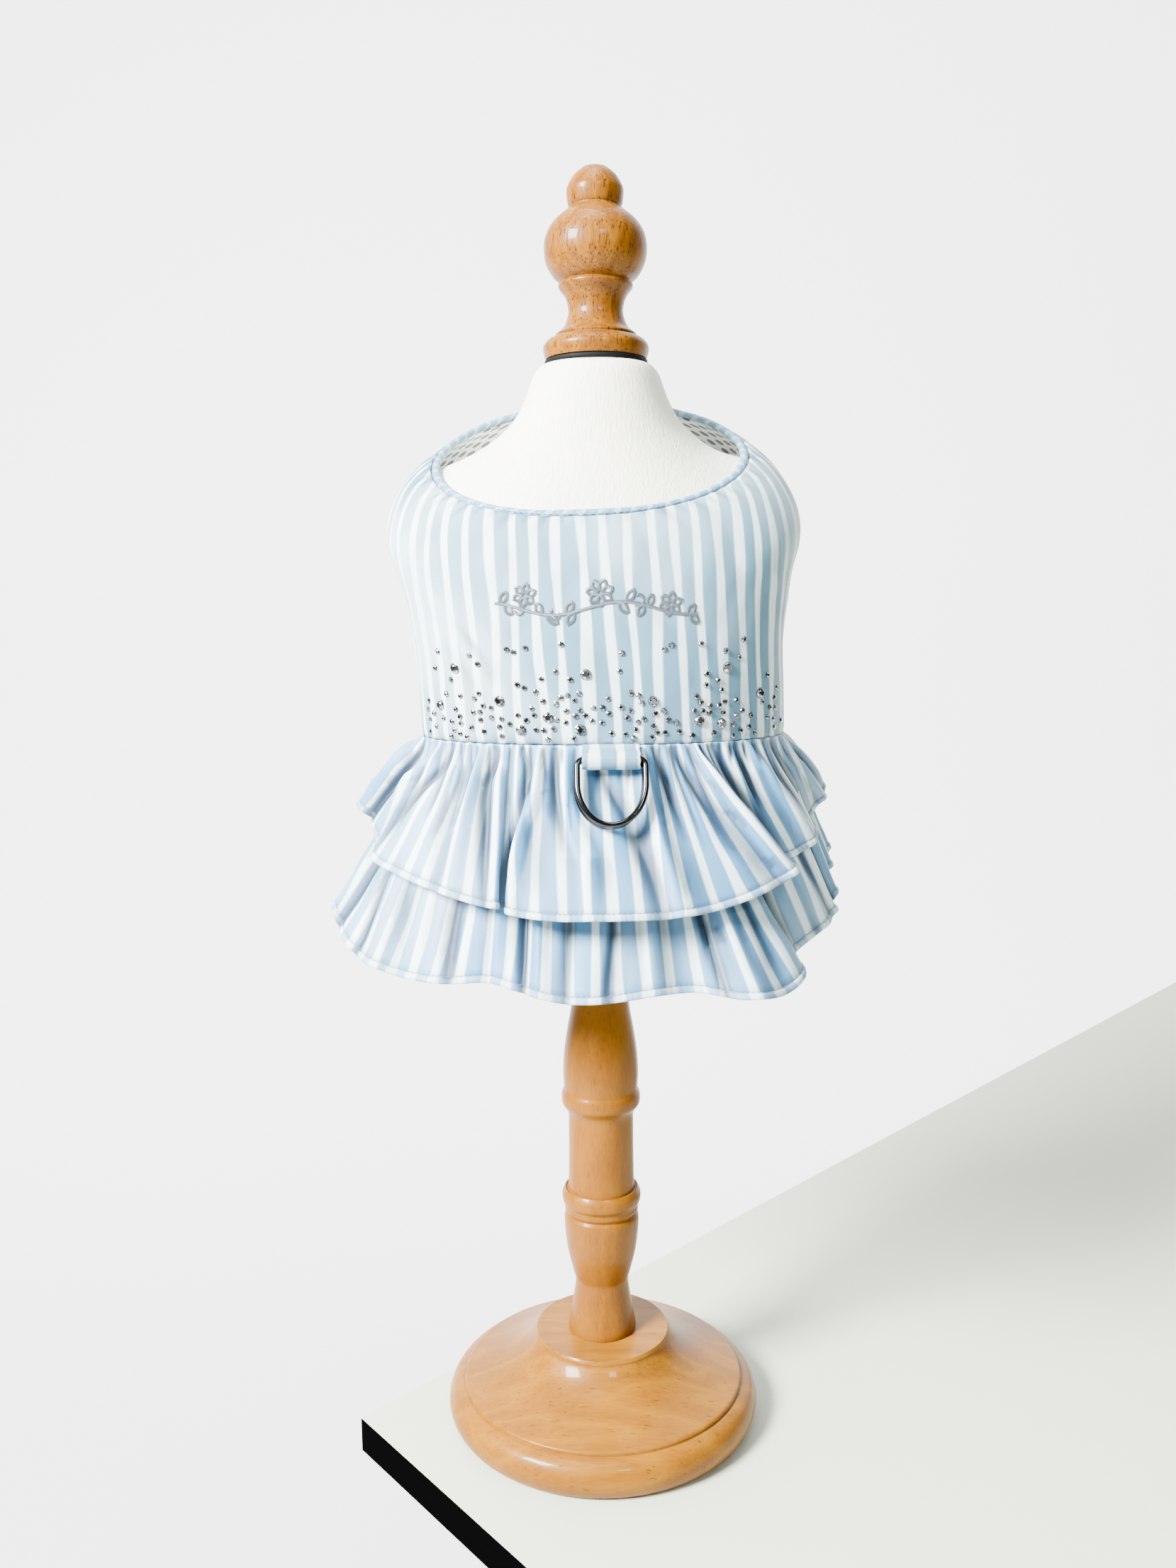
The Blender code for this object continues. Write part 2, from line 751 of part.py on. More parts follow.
wood = new_material("honey_wood", (0.55, 0.28, 0.10), 0.3)
black = new_material("black_plate", (0.02, 0.02, 0.02), 0.5)
canvas = new_material("white_canvas", (0.86, 0.85, 0.82), 0.9)
stripes = new_material("blue_stripe", (0.55, 0.70, 0.85), 0.75)
air_mesh = new_material("white_mesh", (0.90, 0.91, 0.92), 0.85)
edging = new_material("stripe_binding", (0.62, 0.75, 0.88), 0.75)
gunmetal = new_material("gunmetal", (0.45, 0.46, 0.48), 0.15, metallic=1.0)
crystal = new_material("crystal", (0.80, 0.83, 0.88), 0.05, metallic=0.4)

make_stand(wood, black)
make_form(canvas)
make_bodice(stripes, air_mesh, edging)
make_tier("skirt_upper", UPPER_FOLDS, UPPER_REACH, UPPER_DROP, 0.0, 1.0, 84, 5, stripes)
lower_inset = CLOTH + LAYER_GAP
make_tier("skirt_lower", LOWER_FOLDS, LOWER_REACH, LOWER_DROP, lower_inset, 1.3, 70, 5, stripes)
make_loop(stripes)
make_rings(gunmetal)
make_stones(crystal)
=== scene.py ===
import bisect
import json
import math
import random

import bmesh
import bpy
from mathutils import Matrix, Vector, noise

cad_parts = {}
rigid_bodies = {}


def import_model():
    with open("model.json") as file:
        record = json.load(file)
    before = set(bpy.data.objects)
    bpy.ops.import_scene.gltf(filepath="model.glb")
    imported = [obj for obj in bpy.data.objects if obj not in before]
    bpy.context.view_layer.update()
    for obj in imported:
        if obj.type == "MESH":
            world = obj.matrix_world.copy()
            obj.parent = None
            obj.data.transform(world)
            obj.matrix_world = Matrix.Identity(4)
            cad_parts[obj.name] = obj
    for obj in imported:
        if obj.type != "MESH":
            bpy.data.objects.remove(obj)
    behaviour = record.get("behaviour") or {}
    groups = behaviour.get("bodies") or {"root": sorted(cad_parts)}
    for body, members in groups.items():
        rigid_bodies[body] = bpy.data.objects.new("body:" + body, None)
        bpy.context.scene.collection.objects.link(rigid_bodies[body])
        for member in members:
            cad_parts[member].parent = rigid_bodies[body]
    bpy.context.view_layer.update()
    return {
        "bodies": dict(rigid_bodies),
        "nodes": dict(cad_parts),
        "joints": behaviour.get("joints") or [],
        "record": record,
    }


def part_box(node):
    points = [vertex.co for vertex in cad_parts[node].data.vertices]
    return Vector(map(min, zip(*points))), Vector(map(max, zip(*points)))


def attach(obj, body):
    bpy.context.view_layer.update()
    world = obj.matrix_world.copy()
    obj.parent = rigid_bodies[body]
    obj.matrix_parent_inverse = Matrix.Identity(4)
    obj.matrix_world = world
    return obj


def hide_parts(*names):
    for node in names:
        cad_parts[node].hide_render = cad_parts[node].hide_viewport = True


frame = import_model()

# A small dog's dress on a neck bust: metres, +Z up, the dress turns its back to -Y.
mm = 0.001
gap = 0.3 * mm
print("frame loaded:", len(frame["nodes"]), "nodes")


# Small tools

def mix(first, second, share):
    return first + (second - first) * share


def ease(share):
    share = min(1.0, max(0.0, share))
    return share * share * (3.0 - 2.0 * share)


def bump(value, middle, width):
    return math.exp(-(((value - middle) / width) ** 2))


def drift(x, y, z, seed=0.0):
    return noise.noise(Vector((x + seed, y - seed, z + 0.5 * seed)))


def readTable(table, key):  # the other columns at one value of the first, on a smooth curve
    if key <= table[0][0]:
        return table[0][1:]
    for index in range(len(table) - 1):
        low, high = table[index], table[index + 1]
        if key <= high[0]:
            before = table[max(index - 1, 0)]
            after = table[min(index + 2, len(table) - 1)]
            span = high[0] - low[0]
            share = (key - low[0]) / span
            square, cube = share * share, share * share * share
            values = []
            for column in range(1, len(low)):
                slopeIn = (high[column] - before[column]) / (high[0] - before[0]) * span
                slopeOut = (after[column] - low[column]) / (after[0] - low[0]) * span
                values.append(
                    (2 * cube - 3 * square + 1) * low[column]
                    + (cube - 2 * square + share) * slopeIn
                    + (3 * square - 2 * cube) * high[column]
                    + (cube - square) * slopeOut
                )
            return tuple(values)
    return table[-1][1:]


def softLine(points, steps):  # a smooth line through points, as many steps between each two
    line = []
    for index in range(len(points) - 1):
        before = points[max(index - 1, 0)]
        low, high = points[index], points[index + 1]
        after = points[min(index + 2, len(points) - 1)]
        for step in range(steps):
            t = step / steps
            line.append(
                0.5 * (2 * low + (high - before) * t + (2 * before - 5 * low + 4 * high - after) * t * t
                       + (3 * low - before - 3 * high + after) * t * t * t)
            )
    line.append(points[-1].copy())
    return line


# Meshes

def addObject(name, data):
    thing = bpy.data.objects.new(name, data)
    bpy.context.scene.collection.objects.link(thing)
    return thing


def addPiece(name, mesh, material, smoothAngle=50):
    piece = addObject(name, mesh)
    mesh.materials.append(material)
    mesh.shade_smooth()
    mesh.set_sharp_from_angle(angle=math.radians(smoothAngle))
    return piece


def gridMesh(name, points, flat, closed=False):  # rows of corners, and each one's place on the flat cloth
    wide = len(points[0])
    corners = [tuple(point) for row in points for point in row]
    faces = []
    places = []
    spans = wide if closed else wide - 1
    for row in range(len(points) - 1):
        for column in range(spans):
            beside = (column + 1) % wide
            low, high = row * wide, (row + 1) * wide
            faces.append((low + column, low + beside, high + beside, high + column))
            for up, over in ((row, column), (row, column + 1), (row + 1, column + 1), (row + 1, column)):
                places.append(flat[up][over])
    mesh = bpy.data.meshes.new(name)
    mesh.from_pydata(corners, [], faces)
    layer = mesh.uv_layers.new(name="cloth")
    layer.data.foreach_set("uv", [value for place in places for value in place])
    return mesh


def editMesh(mesh, edit):  # one edit, then every face turned outward
    build = bmesh.new()
    build.from_mesh(mesh)
    edit(build)
    bmesh.ops.recalc_face_normals(build, faces=build.faces)
    build.to_mesh(mesh)
    build.free()


def fillEnds(build):
    bmesh.ops.holes_fill(build, edges=[edge for edge in build.edges if edge.is_boundary])


def weld(build):
    bmesh.ops.remove_doubles(build, verts=build.verts, dist=0.000001)


def thicken(piece, thickness, side=-1.0):
    shell = piece.modifiers.new("thickness", "SOLIDIFY")
    shell.thickness = thickness
    shell.offset = side
    shell.use_quality_normals = True


def gridArea(points):
    total = 0.0
    for low, high in zip(points, points[1:]):
        for column in range(len(low) - 1):
            first = high[column + 1] - low[column]
            second = high[column] - low[column + 1]
            total += 0.5 * first.cross(second).length
    return total


def marksAlong(line):  # the length from the line's start to each of its points
    marks = [0.0]
    for first, second in zip(line, line[1:]):
        marks.append(marks[-1] + (second - first).length)
    return marks


def runLength(line):
    return marksAlong(line)[-1]


def tubeMesh(name, line, across, outward, shape, sides=14):  # a closed roll along a loop of frames
    points = []
    flat = []
    count = len(line)
    marks = marksAlong(line + line[:1])
    for side in range(sides + 1):
        angle = math.tau * side / sides
        row = []
        for index in range(count):
            wide, high = shape(index / count, angle)
            spot = line[index] + across[index] * wide * math.cos(angle)
            row.append(spot + outward[index] * high * math.sin(angle))
        points.append(row)
        flat.append([(mark, side / sides * 9 * mm) for mark in marks])
    mesh = gridMesh(name, points, flat, closed=True)
    editMesh(mesh, weld)
    return mesh


def threadMesh(name, stitches, thickness, sides=6):  # raised bars: start, end and the cloth's outer side
    corners = []
    faces = []
    rings = ((0.0, 0.35, 0.0), (0.16, 0.85, 0.5), (0.5, 1.0, 0.8), (0.84, 0.85, 0.5), (1.0, 0.35, 0.0))
    for start, end, outward in stitches:
        along = end - start
        if along.length < 0.00005:
            continue
        forward = along.normalized()
        across = forward.cross(outward).normalized()
        first = len(corners)
        for share, width, lift in rings:
            middle = start + along * share + outward * thickness * 0.5 * lift
            for side in range(sides):
                angle = math.tau * side / sides
                corners.append(
                    middle + (across * math.cos(angle) + outward * math.sin(angle)) * thickness / 2 * width
                )
        for ring in range(len(rings) - 1):
            low = first + ring * sides
            for side in range(sides):
                beside = (side + 1) % sides
                faces.append((low + side, low + beside, low + sides + beside, low + sides + side))
        faces.append(tuple(first + side for side in reversed(range(sides))))
        last = first + (len(rings) - 1) * sides
        faces.append(tuple(last + side for side in range(sides)))
    mesh = bpy.data.meshes.new(name)
    mesh.from_pydata([tuple(corner) for corner in corners], [], faces)
    return mesh


def valleyShadeShares(lifts, along, spans):  # painted shade for the cloth's colour: 0 on crests to 1 in valleys, against the mean height on both sides
    sums = [0.0]
    for lift in lifts:
        sums.append(sums[-1] + lift)
    shares = []
    for column, lift in enumerate(lifts):
        share = 0.0
        for reach, deep in spans:
            first = bisect.bisect_left(along, along[column] - reach)
            last = bisect.bisect_right(along, along[column] + reach)
            share += max(0.0, (sums[last] - sums[first]) / (last - first) - lift) / deep
        shares.append(1.0 - math.exp(-4.0 * share))
    return shares


# the valley shares go on the mesh as a colour attribute, which the cloth reads as painted shade
def paintValleyShade(mesh, rows):
    layer = mesh.color_attributes.new("valley", "FLOAT_COLOR", "POINT")
    values = []
    for line in rows:
        for share in line:
            values += (share, share, share, 1.0)
    layer.data.foreach_set("color", values)


# Shader tools

class Wire:  # one socket: maths on it adds Math nodes
    def __init__(self, paint, socket):
        self.paint = paint
        self.socket = socket

    def output(self, index):  # another output of the same node
        return Wire(self.paint, self.socket.node.outputs[index])

    def reckon(self, operation, *others):
        return self.paint.add("ShaderNodeMath", {"operation": operation}, dict(enumerate(others)))

    def __add__(self, other):
        return self.reckon("ADD", self, other)

    def __radd__(self, other):
        return self.reckon("ADD", other, self)

    def __sub__(self, other):
        return self.reckon("SUBTRACT", self, other)

    def __rsub__(self, other):
        return self.reckon("SUBTRACT", other, self)

    def __mul__(self, other):
        return self.reckon("MULTIPLY", self, other)

    def __rmul__(self, other):
        return self.reckon("MULTIPLY", other, self)

    def __truediv__(self, other):
        return self.reckon("DIVIDE", self, other)

    def __pow__(self, other):
        return self.reckon("POWER", self, other)

    def __abs__(self):
        return self.reckon("ABSOLUTE", self)

    def fraction(self):
        return self.reckon("FRACT", self)

    def sine(self):
        return self.reckon("SINE", self)

    def lesser(self, other):
        return self.reckon("MINIMUM", self, other)

    def between(self, low, high, first=0.0, last=1.0):  # a soft step from first at low to last at high
        sockets = {"Value": self, "From Min": low, "From Max": high, "To Min": first, "To Max": last}
        return self.paint.add("ShaderNodeMapRange", {"interpolation_type": "SMOOTHSTEP"}, sockets)


class Paint:  # one material and its nodes
    def __init__(self, name):
        self.material = bpy.data.materials.new(name)
        self.material.use_nodes = True
        self.tree = self.material.node_tree
        self.shader = self.tree.nodes["Principled BSDF"]

    def put(self, socket, value):
        if isinstance(value, Wire):
            self.tree.links.new(value.socket, socket)
        elif isinstance(value, (tuple, list)) and len(value) == 3 and len(socket.default_value) == 4:
            socket.default_value = (*value, 1.0)
        else:
            socket.default_value = value

    def add(self, kind, settings=None, sockets=None, out=0):
        node = self.tree.nodes.new(kind)
        for key, value in (settings or {}).items():
            if key == "stops":
                ramp = node.color_ramp
                while len(ramp.elements) < len(value):
                    ramp.elements.new(0.5)
                for element, (place, colour) in zip(ramp.elements, value):
                    element.position = place
                    element.color = (*colour, 1.0)
            else:
                setattr(node, key, value)
        for key, value in (sockets or {}).items():
            self.put(node.inputs[key], value)
        return Wire(self, node.outputs[out])

    def blend(self, share, first, second, how="MIX"):  # colours
        settings = {"data_type": "RGBA", "blend_type": how}
        return self.add("ShaderNodeMix", settings, {0: share, 6: first, 7: second}, out=2)

    def stretch(self, where, scale):
        return self.add("ShaderNodeMapping", {}, {"Vector": where, "Scale": scale})

    def place(self, scale=(1.0, 1.0, 1.0)):  # the object's own metres, stretched
        return self.stretch(self.add("ShaderNodeTexCoord", out=3), scale)

    def cloth(self):  # metres across and along the flat cloth
        flat = self.add("ShaderNodeUVMap", {"uv_map": "cloth"})
        across = self.add("ShaderNodeSeparateXYZ", {}, {0: flat})
        return flat, across, across.output(1)

    def noise(self, where, scale, detail=3.0, rough=0.55, warp=0.0):
        sockets = {"Vector": where, "Scale": scale, "Detail": detail, "Roughness": rough, "Distortion": warp}
        return self.add("ShaderNodeTexNoise", {}, sockets)

    def relief(self, height, distance, strength):
        sockets = {"Height": height, "Distance": distance, "Strength": strength}
        return self.add("ShaderNodeBump", {}, sockets)

    def finish(self, **sockets):
        for key, value in sockets.items():
            self.put(self.shader.inputs[key.replace("_", " ")], value)
        return self.material


def stripedCloth(name, looks, slant=0.0):
    paint = Paint(name)
    flat, across, along = paint.cloth()
    slow = paint.stretch(flat, (1.0, 0.16, 1.0))
    wander = (paint.noise(slow, 70.0, 1.0) - 0.5) * looks["wander"]
    phase = ((across + along * slant + wander) / looks["pitch"] + looks["shift"]).fraction()
    edge = abs(phase - 0.5) * 2.0 + (paint.noise(slow, 130.0, 1.0) - 0.5) * 0.45
    white = edge.between(looks["blue"] - looks["soft"], looks["blue"] + looks["soft"])
    grain = paint.noise(flat, 2600.0, 2.0, 0.7)
    slub = paint.noise(paint.stretch(flat, (900.0, 130.0, 1.0)), 1.0, 2.0)
    patch = paint.noise(flat, 28.0, 3.0)
    blueTone = paint.blend(grain, looks["blueDark"], looks["blueLight"])
    whiteTone = paint.blend(grain, looks["whiteDark"], looks["whiteLight"])
    fade = paint.noise(flat, 9.0, 2.0).between(0.42, 0.68, 0.0, looks["fade"])
    colour = paint.blend(white.between(0.0, 1.0, fade, 1.0), blueTone, whiteTone)
    # painted shade in the folds' valleys: the colour is multiplied towards the valley colour by the painted
    # attribute
    valley = paint.add("ShaderNodeVertexColor", {"layer_name": "valley"})
    colour = paint.blend(valley, colour, paint.blend(1.0, colour, looks["valley"], "MULTIPLY"))
    shade = slub * 0.14 + patch * 0.12 + 0.87
    grey = paint.add("ShaderNodeCombineColor", {}, {0: shade, 1: shade, 2: shade})
    colour = paint.blend(1.0, colour, grey, "MULTIPLY")
    warpThreads = (across * (math.tau / looks["thread"])).sine()
    weftThreads = (along * (math.tau / looks["thread"])).sine()
    weave = warpThreads * weftThreads * 0.5 + grain * 0.9 + slub * 0.6
    return paint.finish(
        Base_Color=colour,
        Roughness=looks["rough"] + white * 0.10,
        Sheen_Weight=0.10,
        Sheen_Roughness=0.4,
        Specular_IOR_Level=0.5,
        Normal=paint.relief(weave, 0.00010, 0.5),
    )


def airMesh(name, holes):  # knitted mesh with holes in staggered rows
    paint = Paint(name)
    flat, across, along = paint.cloth()
    span = holes["pitch"] * holes["wide"]
    row = holes["pitch"] * math.sqrt(3.0) * holes["tall"]

    def lattice(shift):
        x = ((across / span + shift).fraction() - 0.5) * (span / holes["wide"])
        y = ((along / row + shift).fraction() - 0.5) * (row / holes["tall"])
        return (x * x + y * y) ** 0.5

    reach = lattice(0.0).lesser(lattice(0.5))
    wall = reach.between(holes["inner"], holes["outer"])
    grain = paint.noise(flat, 1800.0, 2.0, 0.7)
    yarn = paint.blend(grain, (0.88, 0.91, 0.92), (0.98, 0.985, 0.985))
    # the holes are painted dark, as painted shade seen through them
    colour = paint.blend(wall, (0.15, 0.19, 0.21), yarn)
    return paint.finish(
        Base_Color=colour,
        Roughness=0.85,
        Sheen_Weight=0.3,
        Normal=paint.relief(wall + grain * 0.15, 0.0009, 0.8),
    )


def bustCloth(name):
    paint = Paint(name)
    threads = paint.noise(paint.place((1500.0, 1500.0, 120.0)), 1.0, 3.0, 0.6)
    crepe = paint.noise(paint.place((760.0, 760.0, 42.0)), 1.0, 3.0, 0.6, 0.3)
    patch = paint.noise(paint.place(), 14.0, 2.0)
    tone = paint.blend(crepe * 0.6 + patch * 0.4, (0.58, 0.585, 0.48), (0.98, 0.98, 0.84))
    return paint.finish(
        Base_Color=tone,
        Roughness=0.92,
        Sheen_Weight=0.25,
        Specular_IOR_Level=0.25,
        Normal=paint.relief(threads * 0.6 + crepe, 0.00045, 0.8),
    )


def honeyWood(name, grainAxis, looks):
    paint = Paint(name)
    long, short = looks["long"], looks["short"]
    scale = (short, short, long) if grainAxis == "Z" else (long, short, short)
    where = paint.place(scale)
    bend = paint.noise(where, looks["bendScale"], 2.0, 0.5)
    rings = ((bend * looks["ringCount"]).fraction() - 0.5) * 2.0
    figure = abs(rings) ** 1.6
    fibre = paint.noise(paint.place(tuple(size * looks["fibreScale"] for size in scale)), 1.0, 4.0, 0.65)
    streaks = tuple(size * (looks["poreLong"] if size == long else looks["poreScale"]) for size in scale)
    pores = paint.noise(paint.place(streaks), 1.0, 2.0, 0.6)
    pits = pores.between(looks["poreFrom"], looks["poreFrom"] + 0.10)
    patch = paint.noise(paint.place(), 22.0, 3.0)
    tone = figure * looks["figure"] + fibre * (0.80 - looks["figure"]) + patch * 0.35 - 0.08
    stops = [(0.05, looks["dark"]), (0.38, looks["middle"]), (0.85, looks["light"])]
    colour = paint.add("ShaderNodeValToRGB", {"stops": stops}, {0: tone})
    colour = paint.blend(pits * looks["poreDepth"], colour, looks["pore"])
    return paint.finish(
        Base_Color=colour,
        Roughness=0.36 + fibre * 0.10,
        Coat_Weight=0.14,
        Coat_Roughness=0.07,
        Specular_IOR_Level=0.12,
        Normal=paint.relief(fibre * 0.5 - pits, 0.00010, 0.35),
    )


def plainThread(name, dark, light, rough=0.45):
    paint = Paint(name)
    twist = paint.noise(paint.place(), 3500.0, 2.0)
    return paint.finish(
        Base_Color=paint.blend(twist, dark, light),
        Roughness=rough,
        Sheen_Weight=0.3,
        Normal=paint.relief(twist, 0.00008, 0.5),
    )


def darkNickel(name):
    paint = Paint(name)
    smear = paint.noise(paint.place(), 160.0, 3.0)
    scratch = paint.noise(paint.place((400.0, 400.0, 3000.0)), 1.0, 2.0)
    return paint.finish(
        Base_Color=paint.blend(smear, (0.030, 0.030, 0.032), (0.065, 0.063, 0.062)),
        Metallic=1.0,
        Roughness=smear * 0.10 + 0.10,
        Normal=paint.relief(scratch, 0.00002, 0.3),
    )


def cutGlass(name):
    paint = Paint(name)
    # the base colour is painted reflection, each facet dark or bright, with each rim dark as painted shade
    facet = paint.add("ShaderNodeVertexColor", {"layer_name": "facet"})
    return paint.finish(
        Base_Color=facet,
        Metallic=0.85,
        Roughness=0.07,
        Coat_Weight=1.0,
        Coat_Roughness=0.02,
        Specular_IOR_Level=0.9,
    )


def blackPlate(name):
    paint = Paint(name)
    grain = paint.noise(paint.place(), 900.0, 3.0)
    return paint.finish(
        Base_Color=paint.blend(grain, (0.002, 0.002, 0.0022), (0.006, 0.006, 0.006)),
        Roughness=grain * 0.2 + 0.55,
        Specular_IOR_Level=0.08,
        Normal=paint.relief(grain, 0.00005, 0.4),
    )


skirtStripes = {
    "pitch": 10.2 * mm, "blue": 0.63, "soft": 0.14, "shift": 0.31, "wander": 4.0 * mm, "fade": 0.25,
    # the valley colour darkens the cloth as painted shade in the folds' valleys
    "thread": 0.42 * mm, "rough": 0.40, "valley": (0.045, 0.080, 0.11),
    "blueDark": (0.055, 0.19, 0.35), "blueLight": (0.092, 0.27, 0.49),
    "whiteDark": (0.56, 0.74, 0.81), "whiteLight": (0.80, 0.91, 0.93),
}
bodiceStripes = dict(
    skirtStripes, pitch=9.6 * mm, blue=0.62, shift=0.5, rough=0.48, wander=8.0 * mm, fade=0.60,
    blueDark=(0.062, 0.17, 0.25), blueLight=(0.11, 0.25, 0.35),
    whiteDark=(0.50, 0.66, 0.72), whiteLight=(0.78, 0.87, 0.89),
)
bindingStripes = dict(
    skirtStripes, pitch=7.0 * mm, blue=0.66, shift=0.2,
    blueDark=(0.07, 0.17, 0.28), blueLight=(0.13, 0.27, 0.41),
    whiteDark=(0.18, 0.31, 0.43), whiteLight=(0.36, 0.52, 0.62),
)
hemStripes = dict(
    skirtStripes, blue=0.52, rough=0.62,
    blueDark=(0.11, 0.25, 0.44), blueLight=(0.26, 0.44, 0.64),
)
liningHoles = {"pitch": 4.4 * mm, "wide": 1.5, "tall": 1.25, "inner": 1.15 * mm, "outer": 1.45 * mm}
finialWood = {
    "long": 9.0, "short": 46.0, "bendScale": 1.0, "ringCount": 11.0, "figure": 0.30, "fibreScale": 26,
    "poreScale": 36.0, "poreLong": 15.0, "poreFrom": 0.55, "poreDepth": 0.88, "pore": (0.018, 0.004, 0.0),
    "dark": (0.075, 0.024, 0.0007), "middle": (0.140, 0.048, 0.0012), "light": (0.225, 0.088, 0.002),
}
poleWood = dict(
    finialWood, ringCount=6.0, figure=0.16, poreFrom=0.62, poreDepth=0.45,
    dark=(0.105, 0.034, 0.0008), middle=(0.155, 0.052, 0.0012),
)
baseWood = dict(
    poleWood, long=5.0, short=30.0, ringCount=7.0, figure=0.24, poreDepth=0.6,
    dark=(0.105, 0.037, 0.001), middle=(0.18, 0.066, 0.002), light=(0.28, 0.115, 0.003),
)

skirtCloth = stripedCloth("skirtCloth", skirtStripes)
bodiceCloth = stripedCloth("bodiceCloth", bodiceStripes)
bindingCloth = stripedCloth("bindingCloth", bindingStripes, slant=0.8)
hemCloth = stripedCloth("hemCloth", hemStripes)
liningMesh = airMesh("liningMesh", liningHoles)
canvas = bustCloth("canvas")
finialOak = honeyWood("finialOak", "Z", finialWood)
poleOak = honeyWood("poleOak", "Z", poleWood)
baseOak = honeyWood("baseOak", "X", baseWood)
greyThread = plainThread("greyThread", (0.020, 0.036, 0.048), (0.075, 0.105, 0.125), 0.4)
hemThread = plainThread("hemThread", (0.035, 0.09, 0.17), (0.10, 0.19, 0.30))
nickel = darkNickel("nickel")
crystal = cutGlass("crystal")
nearBlackDisc = blackPlate("nearBlackDisc")
print("materials made")


# Stand: outlines as shares of each piece's own radius and height, from the top down

baseOutline = (
    (0.425, 1.000), (0.437, 0.965), (0.442, 0.925), (0.500, 0.800), (0.600, 0.675), (0.720, 0.575),
    (0.840, 0.500), (0.893, 0.468), (0.898, 0.425), (0.915, 0.418), (0.965, 0.360), (0.997, 0.245),
    (0.997, 0.140), (0.972, 0.045), (0.935, 0.000),
)
poleOutline = (
    (0.786, 1.000), (0.786, 0.700), (0.805, 0.664), (0.857, 0.632), (0.960, 0.595), (1.063, 0.551),
    (1.100, 0.515), (1.090, 0.491), (1.085, 0.478), (1.135, 0.470), (1.155, 0.461), (1.130, 0.448),
    (0.970, 0.432), (0.953, 0.400), (0.975, 0.290), (1.075, 0.283), (1.150, 0.274), (1.165, 0.267),
    (1.145, 0.257), (1.080, 0.250), (1.090, 0.241), (1.030, 0.234), (1.100, 0.226), (1.088, 0.198),
    (1.010, 0.157), (0.860, 0.117), (0.788, 0.091), (0.940, 0.028), (1.000, 0.008), (1.000, 0.000),
)
finialOutline = (
    (0.230, 0.990), (0.400, 0.950), (0.515, 0.895), (0.535, 0.860), (0.510, 0.805), (0.485, 0.788),
    (0.560, 0.768), (0.780, 0.715), (0.925, 0.650), (0.970, 0.575), (0.930, 0.500), (0.800, 0.435),
    (0.665, 0.403), (0.700, 0.392), (0.690, 0.372), (0.580, 0.330), (0.522, 0.275), (0.530, 0.225),
    (0.620, 0.165), (0.760, 0.133), (0.765, 0.117), (0.890, 0.104), (0.985, 0.075), (1.000, 0.045),
    (0.955, 0.000),
)
plateOutline = ((0.960, 1.000), (0.990, 0.850), (1.000, 0.500), (0.990, 0.150), (0.960, 0.000))


def lathe(name, node, outline, widest, material, steps=96, top=None):  # turned to its node's size
    low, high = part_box(node)
    height = high[2] - low[2]
    radius = (high[0] - low[0]) / 2 / widest
    corners = [Vector((share * radius, 0.0, rise * height)) for share, rise in outline]
    line = softLine(corners, 4)
    crown = line[0].z if top is None else top * height
    line = [Vector((0.0, 0.0, crown)), *line, Vector((0.0, 0.0, line[-1].z))]
    mesh = bpy.data.meshes.new(name)
    build = bmesh.new()
    verts = [build.verts.new(corner) for corner in line]
    for first, second in zip(verts, verts[1:]):
        build.edges.new((first, second))
    bmesh.ops.spin(
        build, geom=list(build.verts) + list(build.edges), cent=(0, 0, 0), axis=(0, 0, 1),
        angle=math.tau, steps=steps, use_merge=True, use_duplicate=False,
    )
    bmesh.ops.remove_doubles(build, verts=build.verts, dist=0.00001)
    bmesh.ops.recalc_face_normals(build, faces=build.faces)
    build.transform(Matrix.Translation((0.0, 0.0, low[2])))
    build.to_mesh(mesh)
    build.free()
    piece = addPiece(name, mesh, material, smoothAngle=35)
    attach(piece, "root")
    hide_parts(node)
    return piece


lathe("turnedBase", "stand_base", baseOutline, 0.997, baseOak, steps=128)
lathe("turnedPole", "stand_pole", poleOutline, 1.165, poleOak)
lathe("turnedFinial", "finial", finialOutline, 1.0, finialOak, top=1.0)
# a near-black disc under the finial's flange
lathe("neckDisc", "neck_plate", plateOutline, 1.0, nearBlackDisc)
print("stand turned")


# Body: one outer face shared by the bodice, its lining, its bindings and the bust

body = {
    "halfWidth": 90.6 * mm, "halfDepth": 60.0 * mm, "rise": 120.0 * mm, "tilt": 28.0 * mm, "roll": 2.5 * mm,
    "lean": -5.0 * mm, "shift": 2.0 * mm, "cloth": 1.4 * mm, "lining": 1.2 * mm, "layerGap": 0.35 * mm,
    "square": 2.15, "clearance": 1.0 * mm,
}
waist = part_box("bodice")[0][2]
bodiceSections = (  # rise, width, back, chest
    (0.00, 0.894, 0.950, 0.950),
    (0.18, 0.898, 0.955, 0.965),
    (0.36, 0.905, 0.952, 0.990),
    (0.50, 0.932, 0.940, 1.000),
    (0.61, 0.962, 0.925, 1.000),
    (0.70, 0.993, 0.905, 0.985),
    (0.77, 1.000, 0.885, 0.965),
    (0.85, 0.972, 0.858, 0.930),
    (0.92, 0.915, 0.830, 0.880),
    (0.97, 0.842, 0.806, 0.830),
    (1.00, 0.770, 0.790, 0.790),
)


def oval(turn, halfWidth, halfDepth):  # the turn is counted from -Y towards +X
    power = 2.0 / body["square"]
    across = math.copysign(abs(math.sin(turn)) ** power, math.sin(turn))
    along = math.copysign(abs(math.cos(turn)) ** power, math.cos(turn))
    return halfWidth * across, -halfDepth * along


def bodyHeight(turn):
    return body["rise"] - body["tilt"] * math.cos(turn) + body["roll"] * math.sin(turn)


def bodyFace(turn, rise):
    width, back, chest = readTable(bodiceSections, min(max(rise, 0.0), 1.0))
    depth = mix(back, chest, 0.5 - 0.5 * math.cos(turn))
    x, y = oval(turn, width * body["halfWidth"], depth * body["halfDepth"])
    return Vector((x + body["shift"] + body["lean"] * rise, y, waist + rise * bodyHeight(turn)))


